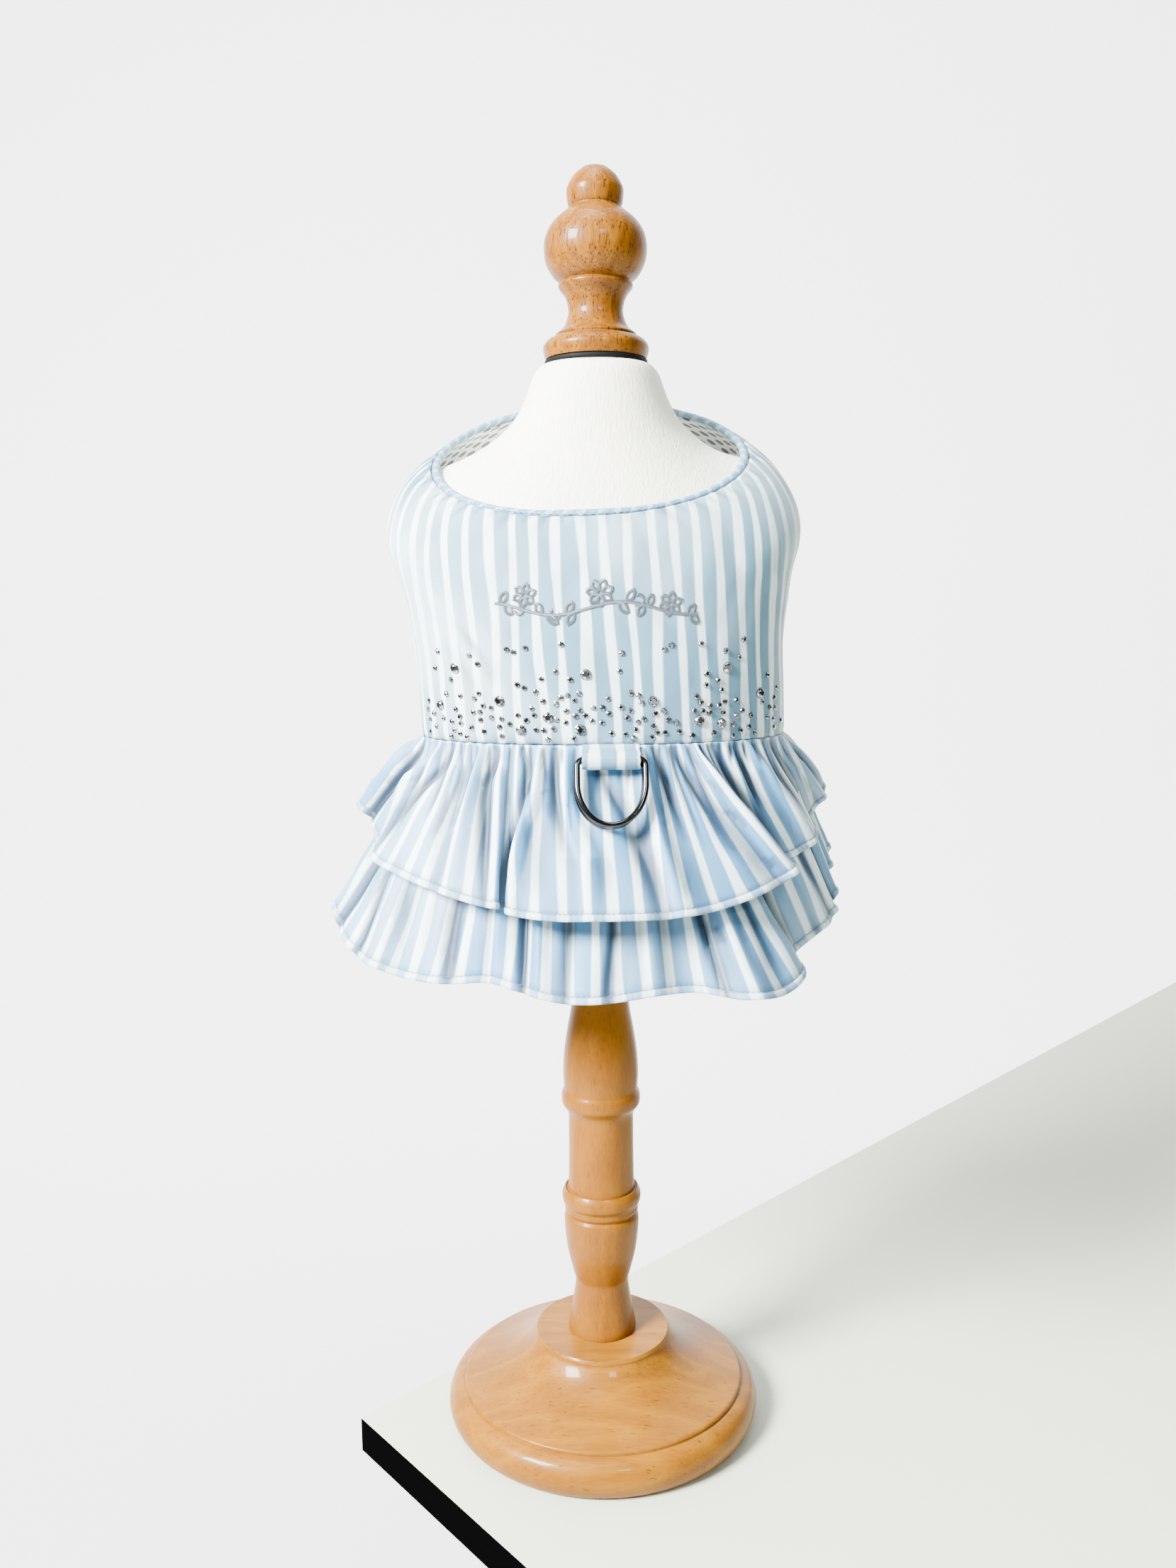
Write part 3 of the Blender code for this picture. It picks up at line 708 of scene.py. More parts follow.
def bodyFrame(turn, rise):
    step = 0.004
    low, high = max(rise - step, 0.0), min(rise + step, 1.0)
    around = (bodyFace(turn + step, rise) - bodyFace(turn - step, rise)).normalized()
    up = (bodyFace(turn, high) - bodyFace(turn, low)).normalized()
    return bodyFace(turn, rise), around, up, around.cross(up).normalized()


def onBack(x, z):  # the turn and rise of the outer face's point at this x and z, on the camera's side
    turn = 0.0
    rise = 0.5
    for _ in range(12):
        rise = min(1.0, max(0.0, (z - waist) / bodyHeight(turn)))
        point = bodyFace(turn, rise)
        nudge = bodyFace(turn + 0.01, rise).x - point.x
        turn = min(1.5, max(-1.5, turn + (x - point.x) * 0.01 / max(nudge, 0.0002)))
    return turn, rise


# Bodice

bodiceCut = {
    "columns": 320, "rows": 84, "crowding": 1.6, "thickness": 0.9 * mm, "softness": 0.5 * mm,
    "pucker": 0.22 * mm, "puckers": 118, "seamPull": 0.55 * mm, "deepest": -0.6 * mm,
    "spacing": 1.5 * mm, "valleyShades": ((4 * mm, 2.2 * mm), (14 * mm, 4.0 * mm)),  # reach, depth of the painted valley shade
    "creases": (  # start x, start z above the waist, end x, end z, height, width
        (-60 * mm, 42 * mm, -44 * mm, 20 * mm, 0.9 * mm, 2.4 * mm),
        (-57 * mm, 47 * mm, -47 * mm, 33 * mm, -0.6 * mm, 2.2 * mm),
        (-78 * mm, 66 * mm, -62 * mm, 52 * mm, 0.5 * mm, 4.0 * mm),
        (60 * mm, 74 * mm, 80 * mm, 60 * mm, 0.5 * mm, 4.0 * mm),
        (40 * mm, 30 * mm, 52 * mm, 12 * mm, 0.35 * mm, 3.0 * mm),
        (-20 * mm, 96 * mm, 22 * mm, 90 * mm, 0.35 * mm, 3.5 * mm),
    ),
}
liningCut = {"columns": 200, "rows": 48}
legHole = {"turn": math.radians(108), "spread": math.radians(17), "rise": 0.66, "reach": 0.20, "steps": 72}


def nearLine(x, z, crease):
    start = Vector((crease[0], crease[1]))
    run = Vector((crease[2], crease[3])) - start
    share = min(1.0, max(0.0, (Vector((x, z)) - start).dot(run) / run.length_squared))
    away = (Vector((x, z)) - start - run * share).length
    return crease[4] * math.exp(-((away / crease[5]) ** 2)) * math.sin(math.pi * mix(0.12, 0.88, share))


def bodiceLift(turn, rise, point):  # how far the soft cloth stands off the smooth body
    cut = bodiceCut
    lift = cut["softness"] * drift(turn * 3.0, rise * 4.0, 0.0, 3.1)
    lift += 0.5 * cut["softness"] * drift(turn * 9.0, rise * 7.0, 0.0, 7.7)
    ripple = math.sin(cut["puckers"] * turn / 2 + 2.0 * drift(turn * 5, 0, 0, 2.0))
    lift += cut["pucker"] * ripple * (bump(rise, 1.0, 0.035) + 0.9 * bump(rise, 0.0, 0.035))
    lift -= cut["seamPull"] * bump(rise, 0.0, 0.016)
    if abs(turn) < 1.6:
        for crease in cut["creases"]:
            lift += nearLine(point.x, point.z - waist, crease)
    return max(lift, cut["deepest"])


def bodyRows(depth, cut, lift=None):  # corners and flat places, the belly's middle at both ends
    columns = cut["columns"]
    spacing = [column * bodiceCut["spacing"] for column in range(columns + 1)]
    points = []
    valleyShades = []
    for row in range(cut["rows"] + 1):
        share = row / cut["rows"]
        rise = mix(share, 1.0 - (1.0 - share) ** bodiceCut["crowding"], 0.55)
        line = []
        lifts = []
        for column in range(columns + 1):
            turn = mix(-math.pi, math.pi, column / columns)
            point, _, _, outward = bodyFrame(turn, rise)
            lifts.append(lift(turn, rise, point) if lift else 0.0)
            line.append(point + outward * (lifts[-1] - depth))
        points.append(line)
        # painted shade in the bodice's valleys
        valleyShades.append(valleyShadeShares(lifts, spacing, bodiceCut["valleyShades"]))
    flat = []
    middle = columns // 2
    heights = [0.0] * (columns + 1)
    for row, line in enumerate(points):
        along = [0.0] * (columns + 1)
        for column in range(middle + 1, columns + 1):
            along[column] = along[column - 1] + (line[column] - line[column - 1]).length
        for column in range(middle - 1, -1, -1):
            along[column] = along[column + 1] - (line[column + 1] - line[column]).length
        if row:
            below = points[row - 1]
            heights = [high + (a - b).length for high, a, b in zip(heights, line, below)]
        flat.append(list(zip(along, heights)))
    return points, flat, valleyShades


def openSheet(name, points, flat, valleyShades, material, thickness):
    mesh = gridMesh(name, [line[:-1] for line in points], flat, closed=True)
    paintValleyShade(mesh, [line[:-1] for line in valleyShades])
    piece = addPiece(name, mesh, material)
    thicken(piece, thickness)
    return piece


def holeRim(side, share, depth, inset=0.0):
    angle = math.tau * share
    turn = side * (legHole["turn"] + legHole["spread"] * math.cos(angle))
    rise = legHole["rise"] + legHole["reach"] * math.sin(angle)
    point, _, _, outward = bodyFrame(turn, rise)
    inward = bodyFace(side * legHole["turn"], legHole["rise"]) - point
    inward = (inward - outward * inward.dot(outward)).normalized()
    return point - outward * depth + inward * inset, inward, outward


def holeCutter(side):
    rows = []
    for depth in (9 * mm, -7 * mm):
        rows.append([holeRim(side, step / legHole["steps"], depth)[0] for step in range(legHole["steps"])])
    flat = [[(0.0, 0.0)] * (legHole["steps"] + 1)] * 2
    mesh = gridMesh("holeCutter", rows, flat, closed=True)
    editMesh(mesh, fillEnds)
    return addObject("holeCutter", mesh)


def cutHoles(piece):  # cut both leg holes, then keep the result as plain mesh
    cutters = [holeCutter(-1), holeCutter(1)]
    for cutter in cutters:
        boolean = piece.modifiers.new("legHole", "BOOLEAN")
        boolean.operation = "DIFFERENCE"
        boolean.solver = "EXACT"
        boolean.object = cutter
    graph = bpy.context.evaluated_depsgraph_get()
    mesh = bpy.data.meshes.new_from_object(piece.evaluated_get(graph))
    piece.modifiers.clear()
    piece.data = mesh
    for cutter in cutters:
        bpy.data.objects.remove(cutter)


backPoints, backFlat, backValleyShades = bodyRows(0.0, bodiceCut, bodiceLift)
bodice = openSheet("stripedBodice", backPoints, backFlat, backValleyShades, bodiceCloth, bodiceCut["thickness"])
cutHoles(bodice)
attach(bodice, "root")
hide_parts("bodice")

liningDepth = body["cloth"] + body["layerGap"]
liningPoints, liningFlat, liningValleyShades = bodyRows(liningDepth, liningCut)
lining = openSheet("airLining", liningPoints, liningFlat, liningValleyShades, liningMesh, body["lining"])
cutHoles(lining)
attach(lining, "root")
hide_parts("lining")
print("bodice and lining made")


# Rolled bindings

roll = {
    "wide": 1.75 * mm, "high": 1.6 * mm, "middle": 1.475 * mm, "inset": 2.0 * mm,
    "dimple": 0.16, "wobble": 0.10, "neckSteps": 620, "legSteps": 260, "thread": 0.34 * mm,
    "stitchPitch": 2.3 * mm, "stitchShare": 0.62, "stitchAcross": -0.55, "stitchUp": 0.86,
}


def rolledBinding(name, node, frames):
    line = [place for place, _, _ in frames]
    dimples = round(runLength(line + line[:1]) / roll["stitchPitch"])

    def shape(share, angle):
        pinch = 1.0 - roll["dimple"] * (0.5 + 0.5 * math.cos(math.tau * dimples * share)) ** 2
        x, y = math.cos(math.tau * share) * 9, math.sin(math.tau * share) * 9
        wobble = 1.0 + roll["wobble"] * drift(x, y, angle * 0.4, 1.0)
        return roll["wide"] * wobble, roll["high"] * pinch * wobble

    def stitchEnd(frame):
        place, inward, out = frame
        return place + inward * roll["wide"] * roll["stitchAcross"] + out * roll["high"] * roll["stitchUp"]

    across = [inward for _, inward, _ in frames]
    outward = [out for _, _, out in frames]
    piece = addPiece(name, tubeMesh(name, line, across, outward, shape), bindingCloth)
    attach(piece, "root")
    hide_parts(node)
    count = len(frames)
    stitches = []
    for index in range(dimples):
        here = frames[int(index / dimples * count) % count]
        there = frames[int((index + roll["stitchShare"]) / dimples * count) % count]
        stitches.append((stitchEnd(here), stitchEnd(there), here[2]))
    thread = addPiece(name + "Stitches", threadMesh(name + "Stitches", stitches, roll["thread"]), hemThread)
    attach(thread, "root")
    return [piece, thread]


neckFrames = []
for step in range(roll["neckSteps"]):
    place, _, up, outward = bodyFrame(math.tau * step / roll["neckSteps"], 1.0)
    neckFrames.append((place - outward * roll["middle"] + up * roll["inset"], up, outward))
trims = rolledBinding("neckRoll", "neck_binding", neckFrames)
for side, name, node in ((-1, "legRollLeft", "leg_binding_left"), (1, "legRollRight", "leg_binding_right")):
    legFrames = []
    for step in range(roll["legSteps"]):
        legFrames.append(holeRim(side, step / roll["legSteps"], roll["middle"], roll["inset"]))
    trims += rolledBinding(name, node, legFrames)
print("bindings rolled")


# Belly strip

strip = {
    "width": 18.0 * mm, "thickness": 0.88 * mm, "columns": 24, "rows": 150, "low": 0.02, "high": 0.97,
    "dent": 0.22 * mm, "seam": 0.42, "rowHeight": 0.95 * mm, "raised": 0.5 * mm,
}
stripPoints = []
stripFlat = []
for row in range(strip["rows"] + 1):
    rise = mix(strip["low"], strip["high"], row / strip["rows"])
    line = []
    for column in range(strip["columns"] + 1):
        across = mix(-0.5, 0.5, column / strip["columns"])
        turn = math.pi + across * strip["width"] / (body["halfWidth"] * 0.9)
        for _ in range(4):  # until the point is this far from the middle
            away = abs(bodyFace(turn, rise).x - bodyFace(math.pi, rise).x)
            if away > 0.01 * mm:
                turn = math.pi + (turn - math.pi) * abs(across) * strip["width"] / away
        point, _, _, outward = bodyFrame(turn, rise)
        dent = strip["dent"] * bump(abs(across), strip["seam"], 0.05)
        line.append(point + outward * (gap + body["layerGap"] + strip["raised"] - dent))
    stripPoints.append(line)
    widths = [column / strip["columns"] * strip["width"] for column in range(strip["columns"] + 1)]
    stripFlat.append([(width, row * strip["rowHeight"]) for width in widths])
bellyStrip = addPiece("bellyStrip", gridMesh("bellyStrip", stripPoints, stripFlat), bodiceCloth)
thicken(bellyStrip, strip["thickness"], side=0.0)
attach(bellyStrip, "root")
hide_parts("belly_strip")
stripStitches = []
outward = Vector((0.0, 1.0, 0.0))
for column in (2, strip["columns"] - 2):
    for row in range(1, strip["rows"] - 2, 3):
        ends = [stripPoints[row + ahead][column] + outward * strip["raised"] for ahead in (0, 2)]
        stripStitches.append((*ends, outward))
stripMesh = threadMesh("bellyStripStitches", stripStitches, roll["thread"])
stripThread = addPiece("bellyStripStitches", stripMesh, hemThread)
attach(stripThread, "root")
print("belly strip laid")


# Bust form

bust = {
    "neckRadius": 27.5 * mm, "columns": 128, "between": 5, "neckline": waist + body["rise"],
    "chestDrop": 0.7, "chestLean": 0.3,  # shares of the body's tilt, on the chest side
    "foot": ((0.00, 0.900), (0.08, 0.955), (0.40, 0.985)),  # height, scale
    "body": (0.02, 0.20, 0.40, 0.57, 0.71, 0.82, 0.91, 0.97),
    "neck": (  # height, width, depth, lean
        (0.10, 1.850, 1.380, 0.54),
        (0.31, 1.455, 1.230, 0.30),
        (0.47, 1.255, 1.160, 0.12),
        (0.65, 1.120, 1.090, 0.00),
        (0.88, 1.000, 1.000, 0.00),
        (0.98, 0.890, 0.890, 0.00),
        (1.00, 0.800, 0.800, 0.00),
    ),
}


def bustColumn(turn):
    low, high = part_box("bust_form")
    inset = body["cloth"] + body["layerGap"] + body["lining"] + body["clearance"]
    column = []
    for share, scale in bust["foot"]:
        point, _, _, outward = bodyFrame(turn, 0.0)
        point = (point - outward * inset) * scale
        point.z = mix(low[2], waist, share)
        column.append(point)
    for rise in bust["body"]:
        point, _, _, outward = bodyFrame(turn, rise)
        point = point - outward * inset
        point.z -= bust["chestDrop"] * rise * body["tilt"] * max(0.0, -math.cos(turn)) ** 1.5
        column.append(point)
    for share, width, depth, lean in bust["neck"]:
        x, y = oval(turn, width * bust["neckRadius"], depth * bust["neckRadius"])
        side = math.cos(turn) if math.cos(turn) > 0 else bust["chestLean"] * math.cos(turn)
        column.append(Vector((x, y, mix(bust["neckline"], high[2], share) - lean * body["tilt"] * side)))
    return softLine(column, bust["between"])


bustColumns = [bustColumn(math.tau * step / bust["columns"]) for step in range(bust["columns"])]
bustPoints = [list(row) for row in zip(*bustColumns)]
bustFlat = []
for row in range(len(bustPoints)):
    bustFlat.append([(column * 4 * mm, row * 2 * mm) for column in range(bust["columns"] + 1)])
bustMesh = gridMesh("coveredBust", bustPoints, bustFlat, closed=True)
editMesh(bustMesh, fillEnds)
bustForm = addPiece("coveredBust", bustMesh, canvas, smoothAngle=60)
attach(bustForm, "root")
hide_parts("bust_form")
print("bust covered")


# Skirt tiers

# folds: waist angle, hem angle, and the hem's reach and drop as shares
upperFolds = (
    (-140, -138, 0.50, 0.16),
    (-118, -120, 0.80, 0.30),
    (-98, -105, 0.62, 0.42),
    (-78, -90, 0.94, 0.53),
    (-68, -83, 0.72, 0.68),
    (-60, -75, 0.86, 0.78),
    (-50, -61, 0.75, 0.84),
    (-41, -46, 0.70, 0.90),
    (-33, -32, 0.76, 0.95),
    (-29, -27, 0.72, 0.97),
    (-26, -25, 0.52, 0.99),
    (-22, -21, 0.87, 0.99),
    (-13, -11, 1.00, 1.00),
    (-3, -1, 1.00, 1.00),
    (7, 9, 0.96, 1.00),
    (14, 19, 0.94, 0.99),
    (18, 27, 0.91, 0.96),
    (22, 38, 0.88, 0.90),
    (27, 50, 0.84, 0.80),
    (36, 55, 0.46, 0.77),
    (46, 63, 0.44, 0.75),
    (58, 74, 0.57, 0.66),
    (70, 86, 0.46, 0.57),
    (84, 99, 0.74, 0.42),
    (100, 110, 0.56, 0.36),
    (120, 124, 0.78, 0.26),
    (140, 138, 0.50, 0.14),
)
lowerFolds = (
    (-140, -138, 0.55, 0.36),
    (-118, -121, 0.95, 0.50),
    (-98, -104, 0.80, 0.66),
    (-82, -90, 1.25, 0.80),
    (-74, -82, 1.14, 0.88),
    (-66, -74, 0.98, 0.94),
    (-52, -58, 0.78, 0.97),
    (-38, -42, 0.68, 0.97),
    (-29, -30, 0.48, 0.96),
    (-21, -22, 0.60, 0.97),
    (-11, -11, 0.72, 1.00),
    (-2, -2, 0.77, 1.00),
    (9, 12, 0.67, 0.98),
    (16, 22, 0.66, 0.98),
    (20, 31, 0.92, 1.00),
    (24, 41, 0.99, 1.00),
    (28, 51, 0.86, 0.96),
    (38, 58, 0.52, 0.90),
    (50, 68, 0.60, 0.84),
    (64, 80, 0.70, 0.77),
    (78, 92, 0.66, 0.67),
    (98, 106, 0.85, 0.56),
    (120, 122, 0.75, 0.46),
    (140, 138, 0.55, 0.34),
)
# creases: runs of (share down, waist angle, height, half width), in degrees and millimetres
upperCreases = (
    ((0.0, -80, 0.3, 2.0), (0.4, -79, 1.1, 3.5), (1.0, -79, 1.2, 4.5)),
    ((0.0, -73, -0.7, 1.6), (0.2, -73, -1.4, 2.4), (0.6, -75, -1.5, 3.0), (1.0, -76, -0.8, 3.5)),
    (
        (0.0, -58, 0.3, 2.0), (0.15, -60, 1.2, 2.8), (0.4, -66, 1.5, 3.6),
        (0.9, -69, 0.7, 5.0), (1.0, -69, 0.5, 5.0),
    ),
    (
        (0.0, -52, -0.9, 1.5), (0.15, -52, -1.6, 2.2), (0.4, -57, -1.4, 3.4),
        (0.75, -60, -0.6, 5.0), (1.0, -61, 0.0, 5.0),
    ),
    ((0.0, -47, -0.8, 1.1), (0.25, -43.5, -1.1, 1.8), (0.45, -44.5, -0.7, 2.6), (0.7, -45, 0.0, 3.0)),
    ((0.0, -42.5, -0.6, 1.0), (0.2, -40.5, -0.9, 1.6), (0.42, -40, 0.0, 2.2)),
    (
        (0.0, -38, 0.2, 1.6), (0.2, -37.5, 1.3, 2.4), (0.5, -38, 1.4, 3.2),
        (0.9, -38, 0.8, 4.0), (1.0, -38, 0.6, 4.0),
    ),
    (
        (0.0, -32.5, -1.0, 1.1), (0.12, -32, -1.6, 1.8), (0.25, -34, -1.9, 2.0),
        (0.6, -32.5, -1.3, 2.6), (1.0, -31, -0.5, 3.0),
    ),
    ((0.0, -29.5, 0.2, 1.2), (0.2, -29.5, 0.8, 1.7), (0.6, -29, 0.9, 2.0), (1.0, -28.5, 0.4, 2.5)),
    (
        (0.0, -23.0, -0.8, 1.1), (0.15, -21.5, -1.9, 1.7), (0.4, -23, -2.6, 2.0),
        (0.62, -24.8, -2.6, 2.2), (1.0, -27, -1.0, 2.4),
    ),
    (
        (0.0, -17.5, 0.3, 1.8), (0.25, -18, 1.5, 3.0), (0.5, -20.5, 1.9, 2.8),
        (0.8, -22.5, 1.2, 3.0), (1.0, -23, 0.8, 3.0),
    ),
    (
        (0.0, -13, -1.1, 1.1), (0.15, -13, -2.0, 1.6), (0.3, -12.3, -1.6, 1.9),
        (0.5, -11, -0.5, 2.6), (0.65, -11, 0.0, 3.0),
    ),
    (
        (0.0, -9.5, 0.2, 1.4), (0.2, -10, 1.3, 2.2), (0.45, -8.2, 1.4, 2.8),
        (0.65, -5.5, 1.0, 3.2), (1.0, -5, 0.3, 4.0),
    ),
    (
        (0.08, -3, 0.0, 3.0), (0.25, 0.5, -0.9, 3.6), (0.45, 4.5, -1.2, 4.2),
        (0.75, 8.3, -1.3, 4.4), (1.0, 9, -0.5, 5.0),
    ),
    ((0.0, 9.0, 0.2, 1.4), (0.25, 9.6, 1.3, 2.2), (0.6, 11.3, 1.3, 3.0), (1.0, 13, 0.8, 4.0)),
    (
        (0.0, 12.6, -1.2, 1.0), (0.08, 13.8, -1.9, 1.4), (0.2, 14.6, -1.5, 1.8),
        (0.4, 15.6, -0.6, 2.4), (0.6, 16, 0.0, 3.0),
    ),
    ((0.0, 18.3, -0.9, 1.1), (0.2, 20.5, -1.3, 1.9), (0.45, 21.5, -0.8, 3.0), (0.8, 22, 0.0, 4.0)),
    ((0.0, 26, 0.3, 1.6), (0.2, 26.5, 1.4, 2.6), (0.5, 26.2, 1.9, 3.6), (1.0, 25.5, 1.7, 4.5)),
    ((0.0, 32, -1.0, 1.4), (0.2, 33.5, -2.1, 2.4), (0.6, 36, -2.0, 3.6), (1.0, 37, -1.2, 4.5)),
    ((0.0, 41, -0.9, 1.2), (0.18, 41.5, -1.6, 1.8), (0.4, 42, -0.9, 2.4), (0.65, 43, 0.0, 3.0)),
    ((0.0, 46, 0.2, 1.6), (0.3, 50, 1.3, 3.0), (0.9, 53, 1.2, 4.5), (1.0, 53, 1.0, 4.5)),
    ((0.0, 61, -0.8, 1.3), (0.25, 63, -1.7, 2.4), (1.0, 66, -1.5, 4.0)),
    ((0.0, 72, 0.2, 1.6), (0.4, 75, 1.2, 3.2), (1.0, 78, 1.2, 4.2)),
)
lowerCreases = (
    ((0.3, -69, 0.0, 2.5), (0.65, -69.5, -1.4, 2.6), (0.9, -67.5, -1.2, 3.0), (1.0, -67, -0.5, 3.0)),
    ((0.3, -62, 0.0, 4.0), (0.7, -62, 1.1, 4.0), (1.0, -60, 0.7, 5.0)),
    ((0.4, -49, 0.0, 3.0), (0.7, -49, 0.9, 4.0), (1.0, -48.5, 0.5, 5.0)),
    ((0.4, -38.5, 0.0, 4.0), (0.7, -38.5, -1.6, 4.2), (0.92, -37.5, -1.5, 4.2), (1.0, -37, -0.6, 4.5)),
    ((0.4, -27, 0.0, 3.0), (0.7, -27, 1.2, 3.4), (1.0, -27, 0.7, 4.0)),
    ((0.3, -21, 0.0, 1.8), (0.66, -20.2, -1.7, 1.8), (0.9, -19.5, -1.9, 1.9), (1.0, -19, -0.8, 2.2)),
    ((0.4, -15.5, 0.0, 2.4), (0.72, -15.5, 1.1, 2.6), (1.0, -15, 0.6, 3.2)),
    ((0.4, -8, 0.0, 2.2), (0.72, -8.5, -0.9, 2.2), (1.0, -9, -0.4, 3.0)),
    ((0.4, 1.5, 0.0, 2.2), (0.72, 1, -1.1, 2.4), (0.95, 0, -0.9, 2.8), (1.0, 0, -0.5, 3.0)),
    ((0.4, 8, 0.0, 3.0), (0.72, 8, 1.0, 3.2), (1.0, 8, 0.6, 4.0)),
    ((0.3, 17.5, 0.0, 1.8), (0.66, 17.8, -1.7, 1.9), (0.85, 18.2, -1.8, 2.2), (1.0, 18.6, -0.8, 2.6)),
    ((0.4, 21, 0.0, 2.6), (0.7, 21, 1.3, 3.0), (1.0, 21.5, 0.9, 4.0)),
    ((0.4, 25, 0.0, 2.6), (0.7, 25, -0.7, 3.0), (1.0, 24.6, -0.3, 4.0)),
    ((0.1, 32, 0.0, 3.0), (0.4, 33, -1.6, 4.0), (0.8, 35, -2.0, 5.0), (1.0, 36, -1.4, 5.0)),
    ((0.3, 50, 0.0, 3.0), (0.7, 52, 1.0, 4.0), (1.0, 54, 0.8, 5.0)),
)
upperTier = {
    "name": "upperTier", "node": "skirt_upper", "folds": upperFolds, "creases": upperCreases,
    "reach": 29.0 * mm, "drop": 66.5 * mm, "inset": 0.0, "flare": 1.0, "columns": 620,
    "depth": 2.4, "waves": 0.6 * mm, "seed": 4.0, "loose": (74, 79), "ringAbove": True,
}
lowerTier = {
    "name": "lowerTier", "node": "skirt_lower", "folds": lowerFolds, "creases": lowerCreases,
    "reach": 34.0 * mm, "drop": 101.0 * mm, "inset": body["cloth"] + body["layerGap"], "flare": 1.3,
    "columns": 560, "depth": 2.3, "waves": 0.7 * mm, "seed": 9.0, "loose": (75, 60), "ringAbove": False,
}
gathers = {
    "end": 140.0, "pitch": 3.3, "sweep": 1.2, "thickness": 0.9 * mm, "deepest": 4.4 * mm,
    "mainRows": 50, "crowding": 1.12, "foldedRow": 0.8,
    "valleyShades": ((3.5 * mm, 2.0 * mm), (12 * mm, 3.4 * mm)),  # reach, depth of the painted valley shade
}
hem = {  # rows at these lengths from the edge, in millimetres, the stitched row among them
    "rows": (3.6, 3.1, 2.8, 2.4, 1.9, 1.35, 0.8, 0.35, 0.0), "stitched": 1,
    "roll": 0.50 * mm, "groove": 0.24 * mm, "grooveWidth": 0.4 * mm, "margin": 1.0 * mm,
    "pucker": 0.13 * mm, "puckerPitch": 2.4 * mm, "puckerEnd": 6 * mm, "puckerReach": 3.2 * mm,
    "stitch": 1.25 * mm, "stitchPitch": 2.15 * mm, "thread": 0.28 * mm,
}
ringRoom = {"middle": 4.5 * mm, "side": 16.0 * mm, "highest": 1.2 * mm, "slope": 4 * mm, "down": 0.65}


def strewnCreases(tier):  # fine gathers all round the waist, and free folds where no crease is drawn
    chance = random.Random(int(tier["seed"]))
    runs = []
    angle = 2.0 - gathers["end"]
    while angle < gathers["end"] - 2.0:
        calm = mix(0.25, 1.0, ease((abs(angle - 2.5) - 8.0) / 5.0)) if tier["ringAbove"] else 1.0
        deep = chance.uniform(0.7, 1.5) * calm
        wide = chance.uniform(0.75, 1.35)
        reach = chance.uniform(0.12, 0.40)
        lean = chance.uniform(-1.6, 1.6)
        runs.append((
            (0.0, angle, -0.5 * deep, 0.8 * wide),
            (0.05, angle, -deep, wide),
            (reach, angle + lean, -0.6 * deep, 1.5 * wide),
            (1.8 * reach, angle + 1.5 * lean, 0.0, 2.2 * wide),
        ))
        angle += gathers["pitch"] * chance.uniform(0.65, 1.4)
    angle = 4.0 - gathers["end"]
    sign = 1.0
    while angle < gathers["end"] - 4.0:
        if angle < -tier["loose"][0] or angle > tier["loose"][1]:
            high = sign * chance.uniform(0.9, 1.8)
            wide = chance.uniform(2.2, 3.4)
            lean = chance.uniform(-2.0, 2.0)
            runs.append((
                (0.0, angle, 0.15 * high, 0.6 * wide),
                (0.25, angle, high, wide),
                (1.0, angle + lean, 0.7 * high, 1.3 * wide),
            ))
        sign = -sign
        angle += chance.uniform(4.5, 7.0)
    return runs


def tierBase(tier, key, down):
    hemAngle, out, fall = readTable(tier["folds"], key)
    turn = math.radians(mix(key, hemAngle, down ** gathers["sweep"]))
    point, _, _, outward = bodyFrame(turn, 0.0)
    outward = Vector((outward.x, outward.y, 0.0)).normalized()
    distance = (out * tier["reach"] + tier["inset"]) * down ** tier["flare"]
    return point + outward * (distance - tier["inset"]) - Vector((0.0, 0.0, gap + fall * tier["drop"] * down))


def gridNormals(points):
    lastRow, lastColumn = len(points) - 1, len(points[0]) - 1
    normals = []
    for row in range(lastRow + 1):
        above, below = points[max(row - 1, 0)], points[min(row + 1, lastRow)]
        line = points[row]
        sides = []
        for column in range(lastColumn + 1):
            around = line[min(column + 1, lastColumn)] - line[max(column - 1, 0)]
            sides.append(around.cross(above[column] - below[column]).normalized())
        normals.append(sides)
    return normals


def addCrease(run, keys, downs, along, relief):  # one crease into one row's relief
    spot = readTable(run, downs[len(downs) // 2])
    column = min(max(bisect.bisect_left(keys, spot[0]), 1), len(keys) - 1)
    key, height, wide = readTable(run, downs[column])
    if abs(height) < 0.01:
        return
    column = min(max(bisect.bisect_left(keys, key), 1), len(keys) - 1)
    share = (key - keys[column - 1]) / (keys[column] - keys[column - 1])
    middle = mix(along[column - 1], along[column], share)
    wide *= mm
    first = bisect.bisect_left(along, middle - 3 * wide)
    last = bisect.bisect_right(along, middle + 3 * wide)
    power = 2.0 if height > 0 else 1.5
    for index in range(first, last):
        relief[index] += height * mm * math.exp(-abs((along[index] - middle) / wide) ** power)


def rowShares(tier, keys):  # the share down of each corner, and each column's length
    lengths = []
    for key in keys:
        lengths.append(runLength([tierBase(tier, key, step / 6) for step in range(7)]))
    downs = []
    for row in range(gathers["mainRows"]):
        share = (row / gathers["mainRows"]) ** gathers["crowding"]
        downs.append([share * (1.0 - hem["rows"][0] * mm / length) for length in lengths])
    for left in hem["rows"]:
        downs.append([1.0 - left * mm / length for length in lengths])
    return downs, lengths


def foldLift(tier, height, spot, down):  # how far the cloth stands off the tier's smooth slope
    lift = height * tier["depth"] * ease(down / 0.05 + 0.25)
    deepest = gathers["deepest"] * ease(down / 0.35 + 0.3)
    if lift < 0.0:
        lift = deepest * math.tanh(lift / deepest)
    lift += tier["waves"] * drift(spot.x * 75, spot.y * 75, spot.z * 45, tier["seed"]) * ease(down / 0.3)
    if tier["ringAbove"] and down < ringRoom["down"]:
        beside = (abs(spot.x - ringRoom["middle"]) - ringRoom["side"]) / ringRoom["slope"]
        lift = min(lift, ringRoom["highest"] + ringRoom["slope"] * ease(beside))
    return lift


